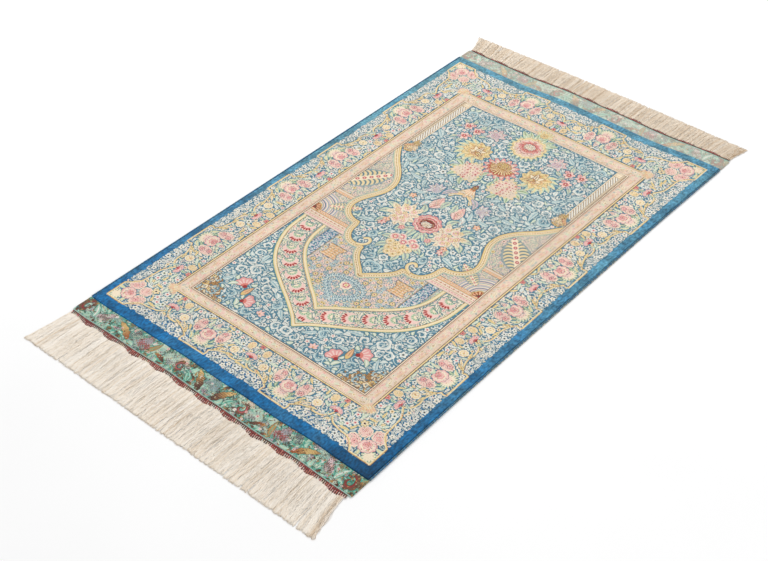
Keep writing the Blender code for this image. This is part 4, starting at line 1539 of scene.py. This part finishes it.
def knot_reader(nodes):
    """The knot under a point of a knotted sheet: its silk number, and two waves that are 0 at its edges."""
    square = nodes.parts("ShaderNodeSeparateXYZ", nodes.add("ShaderNodeUVMap", uv_map="knot_squares"))
    knots = nodes.attribute("knots", "Color")
    rows = (*nodes.parts("ShaderNodeSeparateColor", knots)[:3], knots.node.outputs["Alpha"])
    across = nodes.math("MULTIPLY", square[0], KNOTS_PER_FACE)
    along = nodes.math("MULTIPLY", square[1], KNOTS_PER_FACE)
    column = nodes.math("MINIMUM", nodes.math("FLOOR", across), KNOTS_PER_FACE - 1)
    row = nodes.math("MINIMUM", nodes.math("FLOOR", along), KNOTS_PER_FACE - 1)
    packed, divisor = 0.0, 0.0
    for number, value in enumerate(rows):
        in_row = nodes.math("COMPARE", row, number, 0.5)
        in_column = nodes.math("COMPARE", column, number, 0.5)
        packed = nodes.math("MULTIPLY_ADD", in_row, value, packed)
        divisor = nodes.math("MULTIPLY_ADD", in_column, float(SILK_BASE**number), divisor)
    shifted = nodes.math("FLOOR", nodes.math("DIVIDE", nodes.math("ADD", packed, 0.5), divisor))
    silk = nodes.math("MODULO", shifted, float(SILK_BASE))
    across_wave = nodes.math("SINE", nodes.math("MULTIPLY", nodes.math("FRACT", across), math.pi))
    along_wave = nodes.math("SINE", nodes.math("MULTIPLY", nodes.math("FRACT", along), math.pi))
    return silk, across_wave, along_wave


def knot_tint(nodes, low, high):
    """A factor that differs a little from knot to knot."""
    cell = nodes.add("ShaderNodeVectorMath", {0: nodes.place((1000 / KNOT,) * 3)}, operation="FLOOR")
    draw = nodes.add("ShaderNodeTexWhiteNoise", {"Vector": cell})
    return nodes.spread(draw, 0, 1, low, high)


def pile_material():
    """The knots' silks with the nap's sheen, and on the plain band painted sheen and shade over its dye's own
    unevenness.
    """
    nodes = Nodes("silk_pile", 0.6, 0.10, 0.4, 0.15)
    silk, across_wave, along_wave = knot_reader(nodes)
    colour = nodes.silk_colour(silk)
    x, y, _ = nodes.parts("ShaderNodeSeparateXYZ", nodes.place())

    # Painted sheen and shade: the plain band's colour is made paler towards the back and the left, where its
    # nap turns from the light, and darker towards its front right corner.
    backwards = nodes.spread(y, -0.47, 0.10, 0.0, 1.0)
    leftwards = nodes.spread(x, 0.30, -0.30, 0.66, 0.92)
    cloudy = nodes.noise(22, detail=3)
    painted_sheen = nodes.math("MULTIPLY", backwards, leftwards)
    painted_sheen = nodes.math("ADD", painted_sheen, nodes.spread(cloudy, 0.3, 0.7, -0.16, 0.16))
    band = nodes.mix(nodes.spread(painted_sheen, 0, 1, 0, 1), rgba((14, 98, 150)), rgba((96, 149, 165)))
    # The streaks are partly the dye's own unevenness and partly painted nap shade; the blotches are painted
    # nap shade.
    dye_and_nap_shade_streaks = nodes.spread(nodes.noise(300, (1, 0.5, 1), 3), 0.36, 0.64, 0.62, 1.38)
    painted_nap_shade = nodes.spread(nodes.noise(40, (1, 1, 1), 3), 0.36, 0.64, 0.74, 1.22)
    # Painted shade: the band is made darker towards its front right corner.
    to_corner = nodes.spread(x, 0.16, 0.29, 0.0, 1.0)
    to_front = nodes.spread(y, -0.38, -0.475, 0.0, 1.0)
    corner = nodes.spread(nodes.math("MULTIPLY", to_corner, to_front), 0, 1, 1.0, 0.42)
    band = nodes.shade(nodes.shade(nodes.shade(band, dye_and_nap_shade_streaks), painted_nap_shade), corner)
    colour = nodes.mix(nodes.math("COMPARE", silk, float(BAND), 0.5), colour, band)

    abrash = nodes.spread(nodes.noise(14), 0.3, 0.7, 0.94, 1.06)
    colour = nodes.shade(nodes.shade(colour, abrash), knot_tint(nodes, 0.90, 1.08))
    height = nodes.math("ADD", nodes.math("MULTIPLY", across_wave, along_wave), nodes.noise(900))
    return nodes.finish(colour, height, 0.00012)


def kilim_material():
    """The flat weave's silks, patchy from place to place, and painted paler at the back as sheen."""
    nodes = Nodes("kilim_weave", 0.7, 0.12)
    silk, across_wave, along_wave = knot_reader(nodes)
    colour = nodes.silk_colour(silk)
    patchy = nodes.spread(nodes.noise(60, (1, 2, 1)), 0.3, 0.7, 0.86, 1.14)
    colour = nodes.shade(nodes.shade(colour, patchy), knot_tint(nodes, 0.84, 1.12))
    y = nodes.parts("ShaderNodeSeparateXYZ", nodes.place())[1]
    # Painted sheen: the back band's weave is seen against its grain, so its colour is made paler towards the
    # back.
    colour = nodes.mix(nodes.spread(y, -0.3, 0.3, 0.0, 0.38), colour, rgba((232, 228, 213)))
    height = nodes.math("ADD", nodes.math("MULTIPLY", across_wave, 1.6), along_wave)
    return nodes.finish(colour, height, 0.0002)


def thread_material(name, roughness, sheen, strands):
    """For stitches and cords: each face's silk, with fine strands along it."""
    nodes = Nodes(name, roughness, sheen)
    colour = nodes.silk_colour(nodes.attribute("silk", "Fac"))
    fine = nodes.noise(1.0, strands, 1)
    colour = nodes.shade(colour, nodes.spread(fine, 0.3, 0.7, 0.85, 1.12))
    return nodes.finish(colour, fine, 0.00015)


def fringe_material():
    """Cream silk threads, each with its own tint, which holds painted shade and light by the threads' layer.
    """
    nodes = Nodes("fringe_silk", 0.5, 0.3, 0.5, 0.3)
    ramp = nodes.add("ShaderNodeValToRGB", {0: nodes.attribute("tint", "Fac")})
    stops = ramp.node.color_ramp.elements
    stops[0].color = rgba((176, 142, 98))
    stops[1].color = rgba((255, 248, 238))
    for position, colour in ((0.35, (228, 206, 178)), (0.70, (246, 234, 217))):
        stops.new(position).color = rgba(colour)
    fine = nodes.noise(1.0, (3000, 260, 1500), 1)
    colour = nodes.shade(ramp, nodes.spread(fine, 0.3, 0.7, 0.93, 1.06))
    return nodes.finish(colour, fine, 0.0001)


def foundation_material():
    """The rug's back: fine rows of knots in muted blue and cream."""
    nodes = Nodes("foundation_weave", 0.8, 0.05)
    speckle = nodes.noise(420)
    colour = nodes.mix(nodes.spread(speckle, 0.42, 0.58, 0, 1), rgba((96, 132, 150)), rgba((214, 204, 184)))
    rows = nodes.add("ShaderNodeTexWave", {"Vector": nodes.place(), "Scale": 260.0}, 1, bands_direction="Y")
    colour = nodes.shade(colour, nodes.spread(rows, 0, 1, 0.85, 1.05))
    return nodes.finish(colour, rows, 0.0002)


def floor_material():
    """A near-white floor."""
    nodes = Nodes("studio_floor", 0.9, 0.0)
    faint = nodes.spread(nodes.noise(3.0), 0.3, 0.7, 0.98, 1.0)
    return nodes.finish(nodes.shade(rgba((248, 248, 248))[:3], faint))


# ---------------------------------------------------------------- the pile and its foundation

PILE_COLUMNS = 246
PILE_ROWS = 403
TILE_COLUMNS = (0, 123, 246)
TILE_ROWS = (0, 134, 269, 403)
FOUNDATION_TOP = 0.0009
PILE_SINK = 0.0003  # the mean height of the pile below its top, which its waves reach
PILE_RIM = ((0.0007, 0.0003), (0.0012, 0.0009), (0.0014, 0.0017), (0.0014, None))


def pile_y(x, v):
    """The place of the design's row v: the rows sag a little to the front, and the uneven ends pull them."""
    share = 0.5 + 0.5 * v / PILE_HALF_LENGTH
    crept = -(0.0075 + 0.015 * x) * np.sin(np.pi * share.clip(0, 1) ** 1.6)
    shift = np.where(v < 0, -ripple(FRONT, x), ripple(BACK, x))
    return v + crept + shift * (np.abs(v) / PILE_HALF_LENGTH) ** 3


def pile_height(x, y):
    """The cloth never lies quite flat."""
    return 0.00025 * np.sin(9 * x + 14 * y) + 0.0002 * np.sin(31 * x - 11 * y + 1)


def make_pile(half_chart, material):
    """The pile's sheets, side by side, from the half chart and its mirror image."""
    half_width = PILE_COLUMNS * FACE_SIZE / 2
    half_length = PILE_ROWS * FACE_SIZE / 2
    left = round((half_width + DESIGN_AXIS_X) * 1000 / KNOT)
    right = PILE_COLUMNS * KNOTS_PER_FACE - left
    extra = (half_chart.shape[0] - PILE_ROWS * KNOTS_PER_FACE) // 2
    rows = half_chart[extra:extra + PILE_ROWS * KNOTS_PER_FACE]
    silk = np.concatenate([rows[:, :left][:, ::-1], rows[:, :right]], axis=1)
    add_rungs(silk, (np.arange(silk.shape[1]) + 0.5 - left) * KNOT, ROW_Y[extra:extra + len(silk)])
    v, x = np.meshgrid(
        np.linspace(-half_length, half_length, PILE_ROWS + 1),
        np.linspace(-half_width, half_width, PILE_COLUMNS + 1),
        indexing="ij",
    )
    y = pile_y(x, v)
    x = x - 0.003 * np.sin(np.pi * (x / 0.265).clip(-1, 1))  # the columns are a little closer in the middle
    z = PILE_TOP - PILE_SINK + pile_height(x, y)
    outward = np.zeros((*x.shape, 2))
    outward[:, 0, 0], outward[:, -1, 0] = -1, 1
    outward[0, :, 1], outward[-1, :, 1] = -1, 1
    tiles = []
    for row, (low, high) in enumerate(zip(TILE_ROWS, TILE_ROWS[1:]), 1):
        for column, (first, last) in enumerate(zip(TILE_COLUMNS, TILE_COLUMNS[1:]), 1):
            part = (slice(low, high + 1), slice(first, last + 1))
            knot_rows = slice(low * KNOTS_PER_FACE, high * KNOTS_PER_FACE)
            knot_columns = slice(first * KNOTS_PER_FACE, last * KNOTS_PER_FACE)
            tiles.append(knotted_sheet(
                f"pile_{row}_{column}", x[part], y[part], z[part], silk[knot_rows, knot_columns],
                FOUNDATION_TOP, outward[part], PILE_RIM, material,
            ))
    return tiles


def slab_outline(step):
    """The pile's outline, counter-clockwise."""
    half = RUG_HALF_WIDTH - 2 * SELVEDGE_RADIUS - GAP
    x = np.linspace(-half, half, round(2 * half / step) + 1)
    front = np.stack([x, -(PILE_HALF_LENGTH + ripple(FRONT, x))], axis=-1)
    back = np.stack([x, PILE_HALF_LENGTH + ripple(BACK, x)], axis=-1)[::-1]
    return np.concatenate([front, back])


def make_foundation(material):
    """The slab under the pile, down to the floor."""
    outline = slab_outline(0.006)
    count = len(outline)
    points = np.concatenate([
        np.column_stack([outline, np.full(count, FOUNDATION_TOP)]),
        np.column_stack([outline, np.zeros(count)]),
    ])
    top = np.arange(count)
    low = top + count
    sides = np.stack([top, low, np.roll(low, -1), np.roll(top, -1)], axis=-1)
    return build_piece("foundation", points, [sides, top[None], low[None, ::-1]], material)


# ---------------------------------------------------------------- the ends

KILIM_COLUMNS = 249
KILIM_RIM = ((0.0, 0.0), (0.0, None))
KILIM_WAVE = 0.0002
TWINING_INSET = 0.002  # how far short of the rug's side it stops
TWINING_POINTS = 1801
TWINING_TURNS = 200
PLY_OFFSET = 0.00048  # from the cord's middle line to a ply's
PLY_RADIUS = 0.00064
PLY_SIDES = 6
SELVEDGE_END_INSET = 0.001
SELVEDGE_SIDES = 8
OVERCAST_PITCH = 0.0013
BETWEEN_STITCHES = 0.84  # the selvedge's radius there, as a share


def make_kilim(end, rows, silk, material):
    """The flat-woven band at one end, as a sheet with its own chart."""
    half_width = KILIM_COLUMNS * FACE_SIZE / 2
    share, x = np.meshgrid(
        np.linspace(0, 1, rows + 1), np.linspace(-half_width, half_width, KILIM_COLUMNS + 1), indexing="ij"
    )
    depth = PILE_HALF_LENGTH + ripple(end, x) + GAP + share * end.kilim_depth
    z = KILIM_TOP - KILIM_WAVE + KILIM_WAVE * np.sin(60 * x + 9 * share) * np.sin(np.pi * share)
    y = end.side * depth
    if end.side < 0:
        x, y, z = x[::-1], y[::-1], z[::-1]
    outward = np.zeros((*x.shape, 2))
    name = f"kilim_weave_{end.name}"
    return knotted_sheet(name, x, y, z, silk, 0.0, outward, KILIM_RIM, material)


def make_twining(end, material):
    """Two plies twisted round a line across the rug, just beyond the flat-woven band."""
    half = RUG_HALF_WIDTH - TWINING_INSET
    share = np.linspace(0, 1, TWINING_POINTS)
    x = -half + 2 * half * share
    y = end.side * (kilim_end(end, x) + GAP + TWINING_RADIUS)
    middle = np.stack([x, y, np.full(len(x), TWINING_RADIUS + 0.0002)], axis=-1)
    silks = (ICE, PALE_JADE)
    paths = []
    for ply in range(len(silks)):
        angle = 2 * np.pi * (TWINING_TURNS * share + ply / len(silks))
        offset = np.stack([0 * angle, PLY_OFFSET * np.cos(angle), PLY_OFFSET * np.sin(angle)], axis=-1)
        paths.append(middle + offset)
    radii = np.full((len(silks), TWINING_POINTS), PLY_RADIUS)
    points, quads, starts, ends = tubes(np.array(paths), radii, PLY_SIDES)
    name = f"twining_cord_{end.name}"
    piece = build_piece(name, points, [quads, starts, ends], material)
    side_faces = np.repeat(silks, (TWINING_POINTS - 1) * PLY_SIDES)
    face_numbers(piece, "silk", np.concatenate([side_faces, silks, silks]))
    return piece


def make_selvedge(side, material):
    """A cord overcast with close stitches: a tube that swells at every stitch."""
    half = PILE_HALF_LENGTH - SELVEDGE_END_INSET
    count = round(2 * half / OVERCAST_PITCH) * 2 + 1
    y = np.linspace(-half, half, count)
    x = np.full(count, side * (RUG_HALF_WIDTH - SELVEDGE_RADIUS))
    path = np.stack([x, y, np.full(count, SELVEDGE_RADIUS)], axis=-1)[None]
    swell = np.where(np.arange(count) % 2, 1.0, BETWEEN_STITCHES)
    points, quads, starts, ends = tubes(path, SELVEDGE_RADIUS * swell[None], SELVEDGE_SIDES)
    name = "selvedge_cord_right" if side > 0 else "selvedge_cord_left"
    piece = build_piece(name, points, [quads, starts, ends], material)
    draws = random.Random(5 if side > 0 else 6)
    shades = (DEEP, BAND, DEEP, BLUE) if side > 0 else (BAND, BLUE, BAND, DEEP)
    stitch_silks = [draws.choice(shades) for _ in range((count - 1) // 2)]
    side_faces = np.repeat(stitch_silks, 2 * SELVEDGE_SIDES)
    face_numbers(piece, "silk", np.concatenate([side_faces, [DEEP, DEEP]]))
    return piece


EDGING_INSET = 0.004
STITCH_SIDES = 7
STITCH_SHARES = np.array([0.0, 0.08, 0.25, 0.45, 0.65, 0.85, 1.0])  # where along it a stitch has rings
STITCH_SWELL = np.array([0.7, 1.0, 1.0, 1.0, 1.0, 0.95, 0.55])
STITCH_PITCH = 0.0034
STITCH_LEAN = 0.0014  # to the right over 10 mm of a stitch's length
RED_FROM = 0.22  # where along a scallop, from 0 between two to 1 at its tip, the red stitches begin


def make_edging(end, material):
    """Overcast stitches over pale warps: dark heads, thin dark ticks, and red over the scallops."""
    half = RUG_HALF_WIDTH - EDGING_INSET
    count = round((2 * half - end.short_of_right) / STITCH_PITCH)
    x = -half + (np.arange(count) + 0.5) * STITCH_PITCH
    draws = random.Random(21 + end.side)
    share = STITCH_SHARES
    start, stop = edging_start(end, x)[:, None], edging_end(end, x)[:, None]
    depth = stop - start
    crest = scallop(end, x)
    on_crest = crest > RED_FROM
    between = STITCH_PITCH / 2

    def stitches(number, offset, low, high, top, radius):
        """One tube for each numbered stitch, between two depths given for each of them."""
        px = x[number, None] + offset + STITCH_LEAN * (low + (high - low) * share - start)[number] / 0.01
        out = (low + (high - low) * share)[number]
        hump = top * np.sin(np.pi * (0.15 + 0.72 * share)) ** 0.5
        path = np.stack([px, end.side * out, np.broadcast_to(hump, px.shape)], axis=-1)
        return tubes(path, np.broadcast_to(radius * STITCH_SWELL, px.shape), STITCH_SIDES)

    every = np.arange(count)
    red, plain = every[on_crest], every[~on_crest]
    ragged = np.array([draws.uniform(0.80, 1.15) for _ in every])
    overrun = np.array([draws.uniform(-0.0012, 0.0018) for _ in every])
    cover = start + depth * ((0.18 + 0.40 * crest) * ragged)[:, None]
    strand = start + depth * ((0.55 + 0.30 * crest) * ragged)[:, None]
    tail = stop + overrun[:, None]
    layers = (
        (plain, stitches(plain, 0.0, start, stop + 0.0010, 0.0009, 0.0012), (WHITE, BLUSH, CREAM)),
        (red, stitches(red, 0.0, start, stop + 0.0006, 0.0009, 0.0012), (BLUSH, PINK, CORAL)),
        (red, stitches(red, 0.0, start + 0.0008, cover, 0.0015, 0.0013), (WINE, CORAL, WINE)),
        (red, stitches(red, between, start + 0.0004, strand, 0.0021, 0.0007), (UMBER,)),
        (red, stitches(red, between, strand - 0.0010, tail, 0.0018, 0.00100), (UMBER, UMBER, BROWN)),
        (plain, stitches(plain, between, start + 0.0004, tail, 0.0020, 0.00095), (UMBER, BROWN, UMBER, WINE)),
        (every, stitches(every, 0.0, start, start + 0.0020, 0.0017, 0.0009), (UMBER, BROWN, UMBER)),
    )
    points, quads, starts, ends, silks, caps = [], [], [], [], [], []
    base = 0
    for numbers, (part_points, part_quads, first, last), choice in layers:
        points.append(part_points)
        quads.append(part_quads + base)
        starts.append(first + base)
        ends.append(last + base)
        picked = [draws.choice(choice) for _ in numbers]
        silks.append(np.repeat(picked, (len(share) - 1) * STITCH_SIDES))
        caps.append(picked)
        base += len(part_points)
    piece = build_piece(
        f"edging_stitches_{end.name}", np.concatenate(points),
        [np.concatenate(quads), np.concatenate(starts), np.concatenate(ends)], material,
    )
    face_numbers(piece, "silk", np.concatenate([*silks, *caps, *caps]))
    return piece


FRINGE_INSET = 0.004
THREAD_RADIUS = 0.00034
THREAD_SIDES = 3
STRAY_SHARE = 0.04  # of threads that end short of the others
DARK_SHARE = 0.07
GOLDEN_FROM = 0.955  # at the right side, some threads from here on are golden


def make_fringe(end, strands, rings, seed, material):
    """Loose warp threads, drawn together in locks, from under the edging to the fringe's tips."""
    draws = np.random.default_rng(seed)
    half = RUG_HALF_WIDTH - FRINGE_INSET
    root_x = np.sort(draws.uniform(-half, half - end.short_of_right, strands))
    lock_pitch = 0.0038 if end.side < 0 else 0.0027
    lock = np.floor((root_x + half) / lock_pitch + draws.normal(0, 0.22, strands)).astype(int)
    lock = lock.clip(0, lock.max())
    locks = lock.max() + 1
    middle = -half + (np.arange(locks) + 0.5) * lock_pitch + draws.normal(0, 0.0007, locks)
    gather = draws.uniform(0.0, 0.20, locks)
    drift = np.convolve(draws.normal(0, 0.0022, locks + 8), np.ones(5) / 5, "valid")[:locks]
    drift += draws.normal(0, 0.0006, locks)
    short = np.abs(draws.normal(0, 0.0010, locks))
    t = np.append(np.linspace(0, 0.965, rings - 1), 1.0)[None]
    lean = (root_x / half)[:, None]
    layer = draws.uniform(0, 1, (strands, 1))
    flare = lean * np.abs(lean) ** 3 * np.where(lean > 0, end.right_flare, 1.8 * end.left_flare)

    def wave(count, low, high):
        """A wave along each thread or lock, with its own length and place."""
        turns = draws.uniform(low, high, (count, 1))
        return np.sin(2 * np.pi * (t * turns + draws.uniform(0, 1, (count, 1))))

    sway = draws.normal(0, 0.0015, (strands, 1)) * wave(strands, 1.2, 3.4) * t**0.6
    x = root_x[:, None] + flare * t**1.3 + sway
    x += ((middle[lock] - root_x) * gather[lock])[:, None] * layer * t**1.2
    x += drift[lock][:, None] * t**1.2 + 0.0010 * wave(locks, 1.0, 2.6)[lock] * t
    start = edging_start(end, root_x) + 0.0012
    tip = end.fringe_tip - short[lock] - np.abs(draws.normal(0, 0.0022, strands))
    stray = draws.uniform(0, 1, strands) < STRAY_SHARE
    tip = np.where(stray, tip - draws.uniform(0.002, 0.014, strands), tip) - end.bow * lean[:, 0] ** 2
    depth = start[:, None] + (tip - start)[:, None] * t
    z = 0.00032 + layer * 0.0013 * np.sin(np.pi * (0.10 + 0.89 * t)) + 0.0003 * (1 - t) ** 6
    radius = THREAD_RADIUS * draws.uniform(0.8, 1.2, (strands, 1)) * np.where(t > 0.99, 0.3, 1.0)
    paths = np.stack([x, end.side * depth, z], axis=-1)
    points, quads, starts, ends = tubes(paths, radius, THREAD_SIDES)
    piece = build_piece(f"fringe_threads_{end.name}", points, [quads, starts, ends], material)
    tint = 0.80 + draws.normal(0, 0.10, strands) + draws.normal(0, 0.07, locks)[lock]
    # Painted shade and light: threads lower in the fringe get a darker tint, those on top a lighter one.
    tint += 0.24 * (layer[:, 0] - 0.5)
    tint = np.where(draws.uniform(0, 1, strands) < DARK_SHARE, tint - 0.34, tint)
    golden = (lean[:, 0] > GOLDEN_FROM) & (draws.uniform(0, 1, strands) < 0.35)
    tint = np.where(golden, tint - 0.55, tint)
    tint = (tint + (0.0 if end.side < 0 else -0.28)).clip(0, 1)
    side_faces = np.repeat(tint, (rings - 1) * THREAD_SIDES)
    face_numbers(piece, "tint", np.concatenate([side_faces, tint, tint]))
    cell_map(piece, strands, rings, THREAD_SIDES)
    return piece


# ---------------------------------------------------------------- camera and studio

CAMERA_PLACE = Vector((1.1617, -1.4545, 1.487))
CAMERA_RIGHT = Vector((0.7602, 0.6496, -0.003))
CAMERA_UP = Vector((-0.4222, 0.4975, 0.7578))
CAMERA_BACK = Vector((0.4938, -0.5749, 0.6525))
CAMERA_LENS = 64.55
FLOOR_REACH = 30.0
FLOOR_Z = -0.0004
WORLD_STRENGTH = 0.62
# Each square lamp's name, place, size and power
LAMPS = (
    ("key", (-1.6, 1.4, 2.6), 2.2, 62.0),
    ("fill", (2.2, -1.0, 2.4), 2.6, 26.0),
)


def make_camera():
    """The photograph's view, as solved from the rug's right angles."""
    camera = bpy.data.objects.new("camera", bpy.data.cameras.new("camera"))
    camera.data.lens = CAMERA_LENS
    camera.data.sensor_width = 36.0
    camera.data.clip_end = 60.0
    turn = Matrix((CAMERA_RIGHT, CAMERA_UP, CAMERA_BACK)).transposed()
    camera.matrix_world = Matrix.Translation(CAMERA_PLACE) @ turn.to_4x4()
    bpy.context.scene.collection.objects.link(camera)
    bpy.context.scene.camera = camera


def make_studio():
    """A plain floor, a white world and two square lamps."""
    mesh = bpy.data.meshes.new("floor")
    corners = ((-1, -1), (1, -1), (1, 1), (-1, 1))
    mesh.from_pydata([(FLOOR_REACH * x, FLOOR_REACH * y, FLOOR_Z) for x, y in corners], [], [(0, 1, 2, 3)])
    floor = bpy.data.objects.new("floor", mesh)
    mesh.materials.append(floor_material())
    bpy.context.scene.collection.objects.link(floor)

    world = bpy.data.worlds.new("studio")
    world.use_nodes = True
    background = world.node_tree.nodes["Background"]
    background.inputs["Color"].default_value = (1.0, 1.0, 1.0, 1.0)
    background.inputs["Strength"].default_value = WORLD_STRENGTH
    bpy.context.scene.world = world
    bpy.context.scene.view_settings.view_transform = "Standard"

    for name, place, size, power in LAMPS:
        lamp = bpy.data.lights.new(name, "AREA")
        lamp.shape = "SQUARE"
        lamp.size = size
        lamp.energy = power
        lit = bpy.data.objects.new(name, lamp)
        lit.location = place
        lit.rotation_euler = (-Vector(place)).to_track_quat("-Z", "Y").to_euler()
        bpy.context.scene.collection.objects.link(lit)


# ---------------------------------------------------------------- all together


def main():
    make_camera()
    make_studio()
    chart = draw_pile()
    tiles = make_pile(chart.silk, pile_material())
    foundation = make_foundation(foundation_material())
    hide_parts("pile_carpet")

    weave = kilim_material()
    cord = thread_material("twining_cord", 0.6, 0.2, (900, 2600, 2600))
    stitches = thread_material("edging_stitches", 0.55, 0.25, (3200, 500, 1800))
    overcast = thread_material("selvedge_cord", 0.55, 0.25, (900, 2800, 900))
    threads = fringe_material()
    others = []
    for end, kilim_rows, strands, rings in ((FRONT, 15, 3900, 9), (BACK, 12, 3700, 7)):
        kilim = make_kilim(end, kilim_rows, draw_kilim(end, kilim_rows), weave)
        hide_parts(f"kilim_{end.name}")
        twining = make_twining(end, cord)
        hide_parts(f"twining_{end.name}")
        edging = make_edging(end, stitches)
        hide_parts(f"edging_{end.name}")
        fringe = make_fringe(end, strands, rings, 40 + end.side, threads)
        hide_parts(f"fringe_{end.name}")
        others += [kilim, twining, edging, fringe]
    for side, node in ((-1, "selvedge_left"), (1, "selvedge_right")):
        selvedge = make_selvedge(side, overcast)
        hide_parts(node)
        others.append(selvedge)


main()
